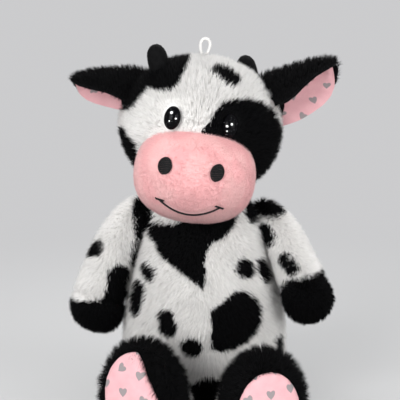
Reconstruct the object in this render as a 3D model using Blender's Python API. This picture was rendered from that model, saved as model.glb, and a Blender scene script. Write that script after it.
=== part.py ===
"""Plush cow, seated: stuffed head, body, arms, legs, ears and tail, each sewn on at its own seam.

Metres, +Z up. The origin is the middle of the flat seat on the floor, and the cow faces -Y.
Left and right are the viewer's, seen from the front.
"""
import math

import bmesh
import bpy
from mathutils import Matrix, Vector

for old in list(bpy.data.objects):
    bpy.data.objects.remove(old, do_unlink=True)

# Cloth and clearances
PLUSH = 0.005          # long-pile plush, its backing and its pressed pile
VELOUR = 0.0025        # short-pile plush
PRINT = 0.002          # printed cotton with its lining
GAP = 0.0003           # between pieces that touch
FLOOR_CUT = 0.0005     # height at which feet are pressed flat, clear of the floor

# Body
BODY_HEIGHT = 0.194    # floor to neck seam
BODY_HALF_WIDTH = 0.064
BODY_HALF_DEPTH = 0.064
NECK_RADIUS = 0.030
CHEST_SHARE = 0.55     # the chest begins at this share of the height
POUCH_HEIGHT = 0.022   # pellets in the seat
# Height, half-width and half-depth of the pear, as shares of the three sizes above
BODY_SHARES = (
    (0.00, 0.66, 0.64), (0.04, 0.81, 0.79), (0.13, 0.95, 0.94), (0.26, 1.00, 1.00), (0.41, 0.98, 0.98),
    (0.56, 0.91, 0.90), (0.70, 0.83, 0.78), (0.81, 0.77, 0.67), (0.89, 0.68, 0.57), (0.95, 0.58, 0.51),
)

# Head
HEAD_HALF_WIDTH = 0.066
HEAD_HALF_DEPTH = 0.058
HEAD_HALF_HEIGHT = 0.0575
HEAD_FORWARD = 0.006   # the head's middle, in front of the neck
HEAD_ASIDE = 0.0015    # and to the left of it
HEAD_ROLL = math.radians(7.5)

# Muzzle
MUZZLE_HALF_WIDTH = 0.0495
MUZZLE_HALF_DEPTH = 0.037
MUZZLE_HALF_HEIGHT = 0.0395
MUZZLE_FORWARD = 0.040
MUZZLE_DROP = 0.0362
CHEST_CLEARANCE = 0.006  # under the muzzle, so that it passes the chest as the head turns

# Eyes
EYE_WIDTH = 0.0135
EYE_HEIGHT = 0.019
EYE_DOME = 0.0062
EYE_RIM = 0.0012
EYE_SINK = 0.0025      # how deep the eye sits in the pile
EYE_ASIDE = 0.0232
EYE_RISE = 0.0074
STEM_RADIUS = 0.0022
STEM_LENGTH = 0.0115
WASHER_RADIUS = 0.0070
WASHER_THICKNESS = 0.0016

# Embroidery
STITCH = 0.0012        # thickness of satin stitch
NOSTRIL_WIDTH = 0.0105
NOSTRIL_HEIGHT = 0.0132
NOSTRIL_RISE = 0.0070  # above the muzzle's middle
NOSTRIL_LEFT = 0.0236
NOSTRIL_RIGHT = 0.0164
NOSTRIL_SHARES = (0.50, 0.96, 1.00, 0.90, 0.50)  # rows of the pad from its underside round to its top
SMILE_WIDTH = 0.0480
SMILE_SAG = 0.0085
SMILE_DROP = 0.0180    # its ends, below the muzzle's middle
SMILE_THREAD = 0.0007  # radius of the stitched line
SMILE_TICK = 0.0062    # length of the stitch across each end

# Ears
EAR_LENGTH = {"left": 0.0475, "right": 0.0540}
EAR_HALF_WIDTH = 0.0205
EAR_THICKNESS = 0.0050
EAR_CUP = 0.0190
EAR_HEM = 0.0020       # the lining stops this far inside the edge
EAR_LINING_GAP = 0.0007
# Height and depth of each root on the head as shares of its half sizes, then the turn and lift of the ear
EAR_ROOT_SHARES = {"left": (0.40, 0.06), "right": (0.50, 0.06)}
EAR_TURN = {"left": math.radians(14), "right": math.radians(36)}
EAR_LIFT = {"left": math.radians(-27), "right": math.radians(4)}
# Distance from the root, half-width and cup, as shares of the three sizes above
EAR_SHARES = (
    (0.05, 0.78, 0.05), (0.14, 0.86, 0.26), (0.27, 0.95, 0.58), (0.42, 1.00, 0.88), (0.56, 0.98, 1.00),
    (0.70, 0.87, 0.88), (0.82, 0.69, 0.62), (0.91, 0.48, 0.36), (0.97, 0.27, 0.15),
)
EAR_ROOT_SHARE = 0.74  # half-width at the root
EAR_ROOT_BENDS = (math.radians(-78), math.radians(-45), 0)  # rows of the round root
EAR_THIN_SHARE = 0.6   # how much thinner the leaf is at its edges
EAR_SPREAD_SHARES = (-1, -0.8, -0.45, 0, 0.45, 0.8, 1)  # points across the leaf

# Horns
HORN_RADIUS = 0.0082
HORN_LENGTH = 0.0190
# Root of each horn on the head as shares of its half width and depth, then its lean outward and back
HORN_ROOT_SHARES = {"left": (-0.60, -0.24), "right": (0.47, 0.42)}
HORN_LEAN = {"left": math.radians(-17), "right": math.radians(2)}
HORN_BACK = {"left": math.radians(0), "right": math.radians(38)}

# Hanging loop
LOOP_CORD = 0.0030     # diameter
LOOP_WIDTH = 0.0080    # between the middles of its two sides
LOOP_RISE = 0.0125     # above the head
LOOP_ROOT = 0.0030     # depth of the seam that holds its ends
LOOP_ASIDE = 0.0025
LOOP_SHARES = (0, 0.33, 0.66)  # points along each straight side

# Arms
ARM_LENGTH = 0.117
ARM_RADIUS = 0.0158
ARM_RISE = 0.024       # top of the arm above its shoulder seam
ARM_OFFSET = 0.0125    # middle of the shoulder from the seam
ARM_WALL = 0.0040
SHOULDER_TILT = math.radians(14)
ARM_LEAN = {"left": math.radians(9), "right": math.radians(28)}
ARM_SPLAY = {"left": 0.0000, "right": 0.0050}
WRIST_SHARE = 0.70
# Distance from the top and half-width, as shares of the arm's length and radius, then the offset share
ARM_SHARES = (
    (0.018, 0.38, 0.80), (0.060, 0.66, 0.84), (0.120, 0.87, 0.92), (0.200, 1.00, 1.02), (0.320, 1.02, 1.22),
    (0.460, 1.00, 1.44), (0.580, 1.01, 1.54), (0.700, 1.10, 1.62), (0.790, 1.25, 1.66), (0.870, 1.26, 1.62),
    (0.940, 1.00, 1.54), (0.982, 0.56, 1.50),
)

# Legs and feet
HIP_RADIUS = 0.0235
HIP_ASIDE = {"left": 0.032, "right": 0.036}
HIP_RISE = 0.0262
HIP_DISH = 0.0028      # how deep the hip sits in the body
HIP_BENDS = [math.radians(bend) for bend in (18, 36, 54, 72, 90)]  # rows round the hip ball
LEG_LENGTH = 0.0575    # hip to sole seam
ANKLE_SHARE = 0.30
FOOT_HALF_WIDTH = 0.0310
FOOT_HALF_HEIGHT = 0.0400
FOOT_RISE = 0.0148     # middle of the foot above the hip
SOLE_BULGE = 0.0040
# Size of each row of the sole from its rim inward, and its height, as shares of the foot and the bulge
SOLE_SHARES = ((0.98, 0), (0.98, 0.45), (0.86, 0.75), (0.55, 0.94))
LEG_WALL = 0.0040
LEG_TURN = {"left": math.radians(20), "right": math.radians(14)}
LEG_TILT = {"left": math.radians(5), "right": math.radians(0)}
# Distance from the hip, half-width and half-height of the foot, and rise of its middle, as shares
LEG_SHARES = (
    (0.16, 0.79, 0.60, 0.06), (0.30, 0.79, 0.64, 0.20), (0.40, 0.86, 0.78, 0.52), (0.52, 0.95, 0.92, 0.84),
    (0.68, 1.00, 1.00, 1.00), (0.84, 0.98, 0.98, 1.00), (0.94, 0.90, 0.91, 1.00), (1.00, 0.80, 0.82, 1.00),
)

# Tail
TAIL_RADIUS = 0.0050
TAIL_LENGTH = 0.052
TAIL_RISE = 0.046
TAIL_DROOP = math.radians(58)
TUFT_RADIUS = 0.0088
TUFT_LENGTH = 0.026
TAIL_ROOT_BENDS = [math.radians(bend) for bend in (25, 50, 75)]  # rows of the round root
# Distance along the tuft and its radius, as shares of the two sizes above
TUFT_SHARES = ((0.0, 0.55), (0.12, 0.80), (0.35, 1.00), (0.62, 0.90), (0.85, 0.55))

# Smoothness: points round a piece, and rows along a ball
ROUND_BIG = 26
ROWS_BIG = 16
ROUND_HOLLOW = 22
ROWS_HOLLOW = 12
ROUND_SMALL = 14
ROUND_EYE = 18
ROUND_THIN = 10

WHITE = (0.86, 0.84, 0.81)
BLACK = (0.012, 0.012, 0.013)
PINK = (0.83, 0.44, 0.45)
CALICO = (0.75, 0.74, 0.70)
STUFFING = (0.92, 0.92, 0.90)
WHITE_CORD = (0.90, 0.90, 0.90)
NYLON = (0.80, 0.80, 0.78)
EYE_BLACK = (0.010, 0.010, 0.012)


def material(name, colour, roughness=0.95, metallic=0.0):
    made = bpy.data.materials.new(name)
    made.use_nodes = True
    shader = made.node_tree.nodes["Principled BSDF"]
    shader.inputs["Base Color"].default_value = (*colour, 1.0)
    shader.inputs["Roughness"].default_value = roughness
    shader.inputs["Metallic"].default_value = metallic
    return made


def place(thing, parent, location, rotation):
    bpy.context.scene.collection.objects.link(thing)
    thing.parent = parent
    thing.location = location
    thing.rotation_euler = rotation
    return thing


def empty(name, parent=None, location=(0, 0, 0), rotation=(0, 0, 0)):
    return place(bpy.data.objects.new(name, None), parent, location, rotation)


def piece(name, shape, parent, colour, roughness=0.95, location=(0, 0, 0), rotation=(0, 0, 0)):
    """A named sub-part from a bmesh, round and smooth, with its own material."""
    bmesh.ops.recalc_face_normals(shape, faces=shape.faces)
    mesh = bpy.data.meshes.new(name)
    shape.to_mesh(mesh)
    shape.free()
    mesh.shade_smooth()
    mesh.set_sharp_from_angle(angle=math.radians(50))
    mesh.materials.append(material(name, colour, roughness))
    return place(bpy.data.objects.new(name, mesh), parent, location, rotation)


def cutter(name, shape, parent, location=(0, 0, 0), rotation=(0, 0, 0)):
    """A hidden shape that others are cut with."""
    bmesh.ops.recalc_face_normals(shape, faces=shape.faces)
    mesh = bpy.data.meshes.new(name)
    shape.to_mesh(mesh)
    shape.free()
    made = place(bpy.data.objects.new(name, mesh), parent, location, rotation)
    made.hide_render = True
    made.display_type = "WIRE"
    return made


def cut(thing, tool):
    boolean = thing.modifiers.new(tool.name, "BOOLEAN")
    boolean.operation = "DIFFERENCE"
    boolean.solver = "EXACT"
    boolean.object = tool


def loft(rings, closed=False):
    """Skin over rings of points. A ring of one point is a tip; open flat ends are capped."""
    shape = bmesh.new()
    rows = [[shape.verts.new(point) for point in ring] for ring in rings]
    pairs = list(zip(rows, rows[1:]))
    if closed:
        pairs.append((rows[-1], rows[0]))
    for low, high in pairs:
        count = max(len(low), len(high))
        if count == 1:
            continue
        for index in range(count):
            after = (index + 1) % count
            below = [low[place % len(low)] for place in (index, after)]
            above = [high[place % len(high)] for place in (after, index)]
            shape.faces.new(list(dict.fromkeys(below + above)))
    if not closed:
        for end in (rows[0], rows[-1]):
            if len(end) > 1:
                shape.faces.new(end)
    return shape


def oval(middle, half_across, half_along, count, across=Vector((1, 0, 0)), along=Vector((0, 1, 0))):
    """A ring of points round a middle point."""
    turns = [2 * math.pi * index / count for index in range(count)]
    return [
        Vector(middle) + across * (half_across * math.cos(turn)) + along * (half_along * math.sin(turn))
        for turn in turns
    ]


def ball(half_x, half_y, half_z, count=ROUND_BIG, rows=ROWS_BIG, middle=(0, 0, 0), poles="Z"):
    """An ellipsoid with its poles along one axis."""
    shape = bmesh.new()
    bmesh.ops.create_uvsphere(shape, u_segments=count, v_segments=rows, radius=1)
    if poles == "Y":
        bmesh.ops.rotate(shape, verts=shape.verts, matrix=Matrix.Rotation(math.radians(90), 3, "X"))
    bmesh.ops.scale(shape, verts=shape.verts, vec=(half_x, half_y, half_z))
    bmesh.ops.translate(shape, verts=shape.verts, vec=middle)
    return shape


def body_section(share):
    """Half-width and half-depth of the body at a share of its height."""
    stations = BODY_SHARES + ((1.0, NECK_RADIUS / BODY_HALF_WIDTH, NECK_RADIUS / BODY_HALF_DEPTH),)
    for low, high in zip(stations, stations[1:]):
        if share <= high[0]:
            part = (share - low[0]) / (high[0] - low[0])
            return tuple(low[index] + part * (high[index] - low[index]) for index in (1, 2))
    return stations[-1][1:]


def body_rings(inset, bottom, top):
    """Rings of the pear, drawn in by an inset, between two heights above the floor."""
    shares = [station[0] for station in BODY_SHARES] + [1.0]
    heights = [inset + share * (BODY_HEIGHT - inset) for share in shares]
    inside = [height for height in heights if bottom < height < top]
    rings = []
    for height in [bottom, *inside, top]:
        wide, deep = body_section((height - inset) / (BODY_HEIGHT - inset))
        half_width, half_depth = wide * BODY_HALF_WIDTH - inset, deep * BODY_HALF_DEPTH - inset
        rings.append(oval((0, 0, height), half_width, half_depth, ROUND_BIG))
    return rings


def build_body(cow, hips):
    neck = BODY_HEIGHT - GAP / 2
    outside = body_rings(0, 0, neck)
    inside = body_rings(PLUSH, PLUSH, neck)
    shell = loft([[Vector((0, 0, 0))], *outside, *reversed(inside), [Vector((0, 0, PLUSH))]])
    skin = piece("body_skin", shell, cow, WHITE)
    for side, hip in hips.items():
        facet = math.cos(math.pi / ROUND_BIG)
        dish = ball(*[(HIP_RADIUS + GAP) / facet] * 3, count=ROUND_BIG, rows=ROUND_BIG)
        cut(skin, cutter(f"hip_dish_{side}", dish, cow, location=hip))
    inset = PLUSH + GAP
    shelf = inset + POUCH_HEIGHT
    piece("pellet_pouch", loft(body_rings(inset, inset, shelf)), cow, CALICO)
    piece("body_filling", loft(body_rings(inset, shelf + GAP, neck)), cow, STUFFING)


def head_surface(aside, up, extra=0.0):
    """Point on the front of the head ball, and the way its surface faces there."""
    wide, deep, high = (half + extra for half in (HEAD_HALF_WIDTH, HEAD_HALF_DEPTH, HEAD_HALF_HEIGHT))
    ahead = -deep * math.sqrt(1 - (aside / wide) ** 2 - (up / high) ** 2)
    point = Vector((aside, ahead, up))
    return point, Vector((aside / wide**2, ahead / deep**2, up / high**2)).normalized()


def muzzle_surface(aside, up, extra):
    """Point on the front of the muzzle, given from the muzzle's middle."""
    wide, deep, high = (half + extra for half in (MUZZLE_HALF_WIDTH, MUZZLE_HALF_DEPTH, MUZZLE_HALF_HEIGHT))
    ahead = deep * math.sqrt(1 - (aside / wide) ** 2 - (up / high) ** 2)
    return Vector((aside, -MUZZLE_FORWARD - ahead, up - MUZZLE_DROP))


def head_ball(inset, count=ROUND_BIG, rows=ROWS_BIG):
    return ball(HEAD_HALF_WIDTH - inset, HEAD_HALF_DEPTH - inset, HEAD_HALF_HEIGHT - inset, count, rows)


def muzzle_ball(inset, count, rows):
    halves = (MUZZLE_HALF_WIDTH - inset, MUZZLE_HALF_DEPTH - inset, MUZZLE_HALF_HEIGHT - inset)
    return ball(*halves, count, rows, middle=(0, -MUZZLE_FORWARD, -MUZZLE_DROP), poles="Y")


def chest_room(clearance):
    """The room that the chest needs under the muzzle at any turn of the head: a turned shape."""
    rings = []
    for share, _, deep in BODY_SHARES:
        if share > CHEST_SHARE:
            radius = deep * BODY_HALF_DEPTH + clearance
            rings.append(oval((0, 0, (share - 1) * BODY_HEIGHT), radius, radius, ROUND_BIG))
    radius = NECK_RADIUS + clearance
    rings.append(oval((0, 0, clearance), radius, radius, ROUND_BIG))
    return loft(rings)


def neck_room(height):
    """Everything below the neck seam."""
    half = HEAD_HALF_WIDTH
    corners = [Vector((x * half, y * half, 0)) for x, y in ((-1, -1), (1, -1), (1, 1), (-1, 1))]
    return loft([[corner + Vector((0, 0, level)) for corner in corners] for level in (-half, height)])


def build_eye(head, skin, filling, side, sign):
    """A domed plastic eye on a stem, sunk in the pile, with its lock washer inside the head."""
    middle, facing = head_surface(sign * EYE_ASIDE, EYE_RISE)
    turn = facing.to_track_quat("-Y", "Z").to_euler()
    half_width, half_height = EYE_WIDTH / 2, EYE_HEIGHT / 2
    across, up = Vector((1, 0, 0)), Vector((0, 0, 1))

    def row(depth, wide, high):
        return oval((0, depth, 0), wide, high, ROUND_EYE, across, up)

    def tube(start, wide, high, end=-EYE_HEIGHT):
        return loft([row(start, wide, high), row(end, wide, high)])

    back = EYE_SINK - GAP
    stem_end = back + STEM_LENGTH
    rows = [row(stem_end, STEM_RADIUS, STEM_RADIUS), row(back, STEM_RADIUS, STEM_RADIUS)]
    rows.append(row(back, half_width, half_height))
    steps = 5
    for step in range(steps):
        bend = math.pi / 2 * step / steps
        depth = back - EYE_RIM - EYE_DOME * math.sin(bend)
        rows.append(row(depth, half_width * math.cos(bend), half_height * math.cos(bend)))
    rows.append([Vector((0, back - EYE_RIM - EYE_DOME, 0))])
    piece(f"eye_{side}", loft(rows), head, EYE_BLACK, 0.08, middle, turn)

    seat = PLUSH + GAP
    hole = STEM_RADIUS + GAP
    washer = [
        row(seat, WASHER_RADIUS, WASHER_RADIUS), row(seat + WASHER_THICKNESS, WASHER_RADIUS, WASHER_RADIUS),
        row(seat + WASHER_THICKNESS, hole, hole), row(seat, hole, hole),
    ]
    piece(f"eye_washer_{side}", loft(washer, closed=True), head, NYLON, 0.4, middle, turn)

    recess = tube(EYE_SINK, half_width + GAP, half_height + GAP)
    drill = tube(stem_end + GAP, hole, hole)
    pocket_radius = WASHER_RADIUS + GAP
    pocket = tube(stem_end + GAP, pocket_radius, pocket_radius)
    flat = tube(stem_end + GAP, pocket_radius, pocket_radius, PLUSH)
    cut(skin, cutter(f"eye_recess_{side}", recess, head, middle, turn))
    cut(skin, cutter(f"eye_hole_{side}", drill, head, middle, turn))
    cut(skin, cutter(f"washer_seat_{side}", flat, head, middle, turn))
    cut(filling, cutter(f"washer_pocket_{side}", pocket, head, middle, turn))


def build_nostril(head, side, aside):
    """A pad of satin stitch that follows the muzzle."""
    count = ROUND_SMALL

    def row(share, extra):
        return [
            muzzle_surface(
                aside + share * NOSTRIL_WIDTH / 2 * math.cos(2 * math.pi * index / count),
                NOSTRIL_RISE + share * NOSTRIL_HEIGHT / 2 * math.sin(2 * math.pi * index / count),
                extra,
            )
            for index in range(count)
        ]

    under, over = GAP, GAP + STITCH
    top = over + STITCH / 4
    levels = (under, under, (under + over) / 2, over, top)
    rows = [[muzzle_surface(aside, NOSTRIL_RISE, under)]]
    rows += [row(share, level) for share, level in zip(NOSTRIL_SHARES, levels)]
    rows.append([muzzle_surface(aside, NOSTRIL_RISE, top)])
    piece(f"nostril_{side}", loft(rows), head, BLACK, 0.7)


def stitched_line(name, parent, points, radius, colour, sides=1):
    """A round cord or thread along points, with closed ends."""
    curve = bpy.data.curves.new(name, "CURVE")
    curve.dimensions = "3D"
    curve.bevel_depth = radius
    curve.bevel_resolution = sides
    curve.use_fill_caps = True
    spline = curve.splines.new("POLY")
    spline.points.add(len(points) - 1)
    for knot, point in zip(spline.points, points):
        knot.co = (*point, 1)
    curve.materials.append(material(name, colour, 0.8))
    return place(bpy.data.objects.new(name, curve), parent, (0, 0, 0), (0, 0, 0))


def build_smile(head):
    """One stitched line with a short stitch across each end."""
    lift = SMILE_THREAD + GAP
    steps = 16

    def on_line(share):
        return share * SMILE_WIDTH / 2, -SMILE_DROP - SMILE_SAG * (1 - share**2)

    points = [muzzle_surface(*on_line(2 * step / steps - 1), lift) for step in range(steps + 1)]
    stitched_line("smile", head, points, SMILE_THREAD, BLACK)
    slope = 4 * SMILE_SAG / SMILE_WIDTH
    along = Vector((1, slope)).normalized()
    for side, sign in (("left", -1), ("right", 1)):
        end_aside, end_up = on_line(sign)
        clear = 2 * SMILE_THREAD + GAP
        middle = Vector((end_aside + sign * along.x * clear, end_up + along.y * clear))
        square = Vector((-sign * along.y, along.x)) * (SMILE_TICK / 2)
        ends = [middle - square, middle, middle + square]
        tick = [muzzle_surface(end.x, end.y, lift) for end in ends]
        stitched_line(f"smile_tick_{side}", head, tick, SMILE_THREAD, BLACK)


def build_ear(head, side, sign, length):
    """A cupped leaf of black plush with a printed lining, hinged along its root."""
    up_share, back_share = EAR_ROOT_SHARES[side]
    out_share = math.sqrt(1 - up_share**2 - back_share**2)
    halves = Vector((HEAD_HALF_WIDTH, HEAD_HALF_DEPTH, HEAD_HALF_HEIGHT))
    surface = Vector((sign * out_share * halves.x, back_share * halves.y, up_share * halves.z))
    facing = Vector([surface[axis] / halves[axis] ** 2 for axis in range(3)]).normalized()
    ahead = Vector((0, -1, 0))
    ahead = (ahead - facing * ahead.dot(facing)).normalized()
    upward = Vector((0, 0, 1))
    upward = (upward - facing * upward.dot(facing)).normalized()
    across = sign * (ahead * math.cos(EAR_TURN[side]) + upward * math.sin(EAR_TURN[side]))
    below = facing.cross(across)
    along = facing * math.cos(EAR_LIFT[side]) - below * math.sin(EAR_LIFT[side])
    opening = along.cross(across)
    radius = EAR_THICKNESS / 2
    frame = Matrix((along, across, opening)).transposed().to_euler()
    hinge = empty(f"ear_{side}_hinge", head, surface + facing * (radius + GAP), frame)

    def section(distance, half_width, cup, thick, thin):
        """Closed outline across the leaf, from its outer side to its inner side."""
        def edge(share, level):
            return Vector((distance, half_width * share, cup * share**2 + level * (1 - thin * share**4)))
        outer = [edge(share, -thick) for share in EAR_SPREAD_SHARES]
        inner = [edge(share, thick) for share in reversed(EAR_SPREAD_SHARES)]
        return outer + inner

    back = []
    root_half = EAR_ROOT_SHARE * EAR_HALF_WIDTH
    for bend in EAR_ROOT_BENDS:
        back.append(section(radius * math.sin(bend), root_half, 0, radius * math.cos(bend), 0))
    for distance, wide, cup in EAR_SHARES:
        half_width = wide * EAR_HALF_WIDTH
        back.append(section(distance * length, half_width, cup * EAR_CUP, radius, EAR_THIN_SHARE))
    back.append([Vector((length, 0, 0))])
    piece(f"ear_back_{side}", loft(back), hinge, BLACK)

    return hinge


def leaf_section(share):
    """Half-width and cup of the ear at a share of its length."""
    for first, last in zip(EAR_SHARES, EAR_SHARES[1:]):
        if share <= last[0]:
            part = (share - first[0]) / (last[0] - first[0])
            wide, cup = (first[index] + part * (last[index] - first[index]) for index in (1, 2))
            return wide * EAR_HALF_WIDTH, cup * EAR_CUP


def cupped(share):
    """How far the leaf's facets have curled at a share of its half-width."""
    for low, high in zip(EAR_SPREAD_SHARES, EAR_SPREAD_SHARES[1:]):
        if share <= high:
            return low**2 + (share - low) / (high - low) * (high**2 - low**2)


def build_ear_lining(hinge, side, length):
    """The printed lining: a thin leaf laid in the cup, short of the edge all round."""
    rings = []
    for share, _, _ in EAR_SHARES[1:]:
        half_width, cup = leaf_section(share)
        seen = 1 - EAR_HEM / half_width
        under = []
        for spread in EAR_SPREAD_SHARES:
            spread *= seen
            steep = math.hypot(1, 2 * cup * spread / half_width)
            height = EAR_THICKNESS / 2 + EAR_LINING_GAP * steep + cup * cupped(spread)
            under.append(Vector((share * length, half_width * spread, height)))
        over = [point + Vector((0, 0, PRINT)) for point in reversed(under)]
        rings.append(under + over)
    piece(f"ear_lining_{side}", loft(rings), hinge, PINK)


def build_horn(head, side, sign):
    """A velour finger standing on the head, open at its root, with its stuffing."""
    aside, back = HORN_ROOT_SHARES[side]
    up = math.sqrt(1 - aside**2 - back**2)
    root = Vector((aside * HEAD_HALF_WIDTH, back * HEAD_HALF_DEPTH, up * HEAD_HALF_HEIGHT))
    turn = Matrix.Rotation(HORN_LEAN[side], 3, "Y") @ Matrix.Rotation(-HORN_BACK[side], 3, "X")
    across, along, axis = (turn @ Vector(unit) for unit in ((1, 0, 0), (0, 1, 0), (0, 0, 1)))

    def on_head(point):
        """The point slid along the horn until it just stands clear of the head."""
        halves = [half + GAP for half in (HEAD_HALF_WIDTH, HEAD_HALF_DEPTH, HEAD_HALF_HEIGHT)]
        scaled, ray = (Vector([vector[i] / halves[i] for i in range(3)]) for vector in (point, axis))
        a, b, c = ray.dot(ray), 2 * scaled.dot(ray), scaled.dot(scaled) - 1
        return point + axis * ((-b + math.sqrt(b * b - 4 * a * c)) / (2 * a))

    def finger(inset, count, rows):
        radius = HORN_RADIUS - inset
        straight = HORN_LENGTH - HORN_RADIUS
        rings = [[on_head(point) for point in oval(root, radius, radius, count, across, along)]]
        for step in range(rows):
            bend = math.pi / 2 * step / rows
            middle = root + axis * (straight + radius * math.sin(bend))
            reach = radius * math.cos(bend)
            rings.append(oval(middle, reach, reach, count, across, along))
        rings.append([root + axis * (straight + radius)])
        return rings

    outside, inside = (finger(inset, ROUND_SMALL, 4) for inset in (0, VELOUR / 2))
    piece(f"horn_skin_{side}", loft([*outside, *reversed(inside)], closed=True), head, BLACK)
    piece(f"horn_filling_{side}", loft(finger(VELOUR / 2 + GAP, ROUND_THIN, 3)), head, STUFFING)


def build_loop(head, skin):
    """The cord loop at the crown, its two ends held in the seam."""
    half, radius = LOOP_WIDTH / 2, LOOP_CORD / 2
    foot = HEAD_HALF_HEIGHT - LOOP_ROOT + GAP
    shoulder = HEAD_HALF_HEIGHT + LOOP_RISE - half
    steps = 9
    heights = [foot + share * (shoulder - foot) for share in LOOP_SHARES]
    points = [Vector((-LOOP_ASIDE - half, 0, height)) for height in heights]
    for step in range(steps + 1):
        turn = math.pi * step / steps
        points.append(Vector((-LOOP_ASIDE - half * math.cos(turn), 0, shoulder + half * math.sin(turn))))
    points += [Vector((-LOOP_ASIDE + half, 0, height)) for height in reversed(heights)]
    stitched_line("hanging_loop", head, points, radius, WHITE_CORD)
    for side, sign in (("left", -1), ("right", 1)):
        clear = radius + GAP
        middle = (-LOOP_ASIDE + sign * half, 0)
        levels = (HEAD_HALF_HEIGHT - LOOP_ROOT, HEAD_HALF_HEIGHT + LOOP_ROOT)
        slot = loft([oval((*middle, level), clear, clear, ROUND_SMALL) for level in levels])
        cut(skin, cutter(f"loop_slot_{side}", slot, head))


def build_head(cow):
    turn = empty("head_turn", cow, (0, 0, BODY_HEIGHT))
    rise = HEAD_HALF_HEIGHT * math.sqrt(1 - (NECK_RADIUS / HEAD_HALF_WIDTH) ** 2)
    head = empty("head_ball", turn, (-HEAD_ASIDE, -HEAD_FORWARD, rise), (0, HEAD_ROLL, 0))

    skin = piece("head_skin", head_ball(0), head, WHITE)
    filling = piece("head_filling", head_ball(PLUSH + GAP, ROUND_HOLLOW, ROWS_HOLLOW), head, STUFFING)
    below = cutter("neck_room", neck_room(GAP / 2), turn)
    cut(skin, cutter("head_hollow", head_ball(PLUSH, ROUND_HOLLOW, ROWS_HOLLOW), head))
    cut(skin, below)
    cut(filling, below)

    muzzle = piece("muzzle_skin", muzzle_ball(0, ROUND_BIG, ROWS_HOLLOW), head, PINK)
    hollow = cutter("muzzle_hollow", muzzle_ball(VELOUR, ROUND_HOLLOW, ROWS_HOLLOW), head)
    cut(hollow, cutter("chest_room_skin", chest_room(CHEST_CLEARANCE + VELOUR), turn))
    cut(muzzle, hollow)
    cut(muzzle, cutter("head_room", head_ball(-GAP), head))
    cut(muzzle, cutter("chest_room", chest_room(CHEST_CLEARANCE), turn))
    stuffing = piece("muzzle_filling", muzzle_ball(VELOUR + GAP, ROUND_HOLLOW, ROWS_HOLLOW), head, STUFFING)
    cut(stuffing, cutter("head_room_filling", head_ball(-GAP), head))
    cut(stuffing, cutter("chest_room_filling", chest_room(CHEST_CLEARANCE + VELOUR + GAP), turn))

    build_nostril(head, "left", -NOSTRIL_LEFT)
    build_nostril(head, "right", NOSTRIL_RIGHT)
    build_smile(head)
    for side, sign in (("left", -1), ("right", 1)):
        build_eye(head, skin, filling, side, sign)
        build_horn(head, side, sign)
        hinge = build_ear(head, side, sign, EAR_LENGTH[side])
        build_ear_lining(hinge, side, EAR_LENGTH[side])
    build_loop(head, skin)


def build_arm(cow, side, sign):
    """A stuffed sleeve and paw. The arm swings on a flat seam that stands against the body's side."""
    cos_tilt, sin_tilt = math.cos(SHOULDER_TILT), math.sin(SHOULDER_TILT)
    stations = [(share * BODY_HEIGHT, wide * BODY_HALF_WIDTH) for share, wide, _ in BODY_SHARES]
    height, half_width = max(stations, key=lambda station: station[1] * cos_tilt + station[0] * sin_tilt)
    seam = (sign * (half_width + GAP * cos_tilt), 0, height + GAP * sin_tilt)
    swing = empty(f"arm_{side}_swing", cow, seam, (0, -sign * SHOULDER_TILT, 0))
    lean = Matrix.Rotation(-ARM_LEAN[side], 3, "X")

    def section(share, radius, offset, inset):
        drop = inset + share * (ARM_LENGTH - 2 * inset)
        aside = offset * ARM_OFFSET + ARM_SPLAY[side] * share**2
        reach = radius * ARM_RADIUS - inset
        ring = oval((aside, 0, ARM_RISE - drop), reach, reach, ROUND_SMALL)
        flat = [Vector((sign * max(point.x, inset), point.y, point.z)) for point in ring]
        return [lean @ point for point in flat]

    def rings(inset, first, last):
        """Rings from one share of the length to another, with a tip where the arm ends."""
        inside = [station for station in ARM_SHARES if first < station[0] < last]
        made = [section(*station, inset) for station in inside]
        if first == 0:
            made.insert(0, [sum(made[0], Vector()) / len(made[0]) + tip])
        else:
            made.insert(0, section(first, *wrist, inset))
        if last == 1:
            made.append([sum(made[-1], Vector()) / len(made[-1]) - tip])
        else:
            made.append(section(last, *wrist, inset))
        return made

    tip = lean @ Vector((0, 0, ARM_LENGTH * ARM_SHARES[0][0] / 2))
    wrist = next(station[1:] for station in ARM_SHARES if station[0] == WRIST_SHARE)
    seam_half = GAP / 2 / ARM_LENGTH
    sleeve_end, paw_start = WRIST_SHARE - seam_half, WRIST_SHARE + seam_half
    outside, inside = (rings(inset, 0, sleeve_end) for inset in (0, ARM_WALL))
    piece(f"sleeve_{side}", loft([*reversed(outside), *inside], closed=True), swing, WHITE)
    outside, inside = (rings(inset, paw_start, 1) for inset in (0, ARM_WALL))
    piece(f"paw_{side}", loft([*outside, *reversed(inside)], closed=True), swing, BLACK)
    inset = ARM_WALL + GAP
    filling = rings(inset, 0, sleeve_end) + rings(inset, paw_start, 1)
    piece(f"arm_filling_{side}", loft(filling), swing, STUFFING)


def hip_place(side, sign):
    """Middle of the hip ball, sunk a little in the body's front."""
    reach = body_section(HIP_RISE / BODY_HEIGHT)[1] * BODY_HALF_DEPTH + HIP_RADIUS - HIP_DISH
    aside = HIP_ASIDE[side]
    return Vector((sign * aside, -math.sqrt(reach**2 - aside**2), HIP_RISE))


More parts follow.
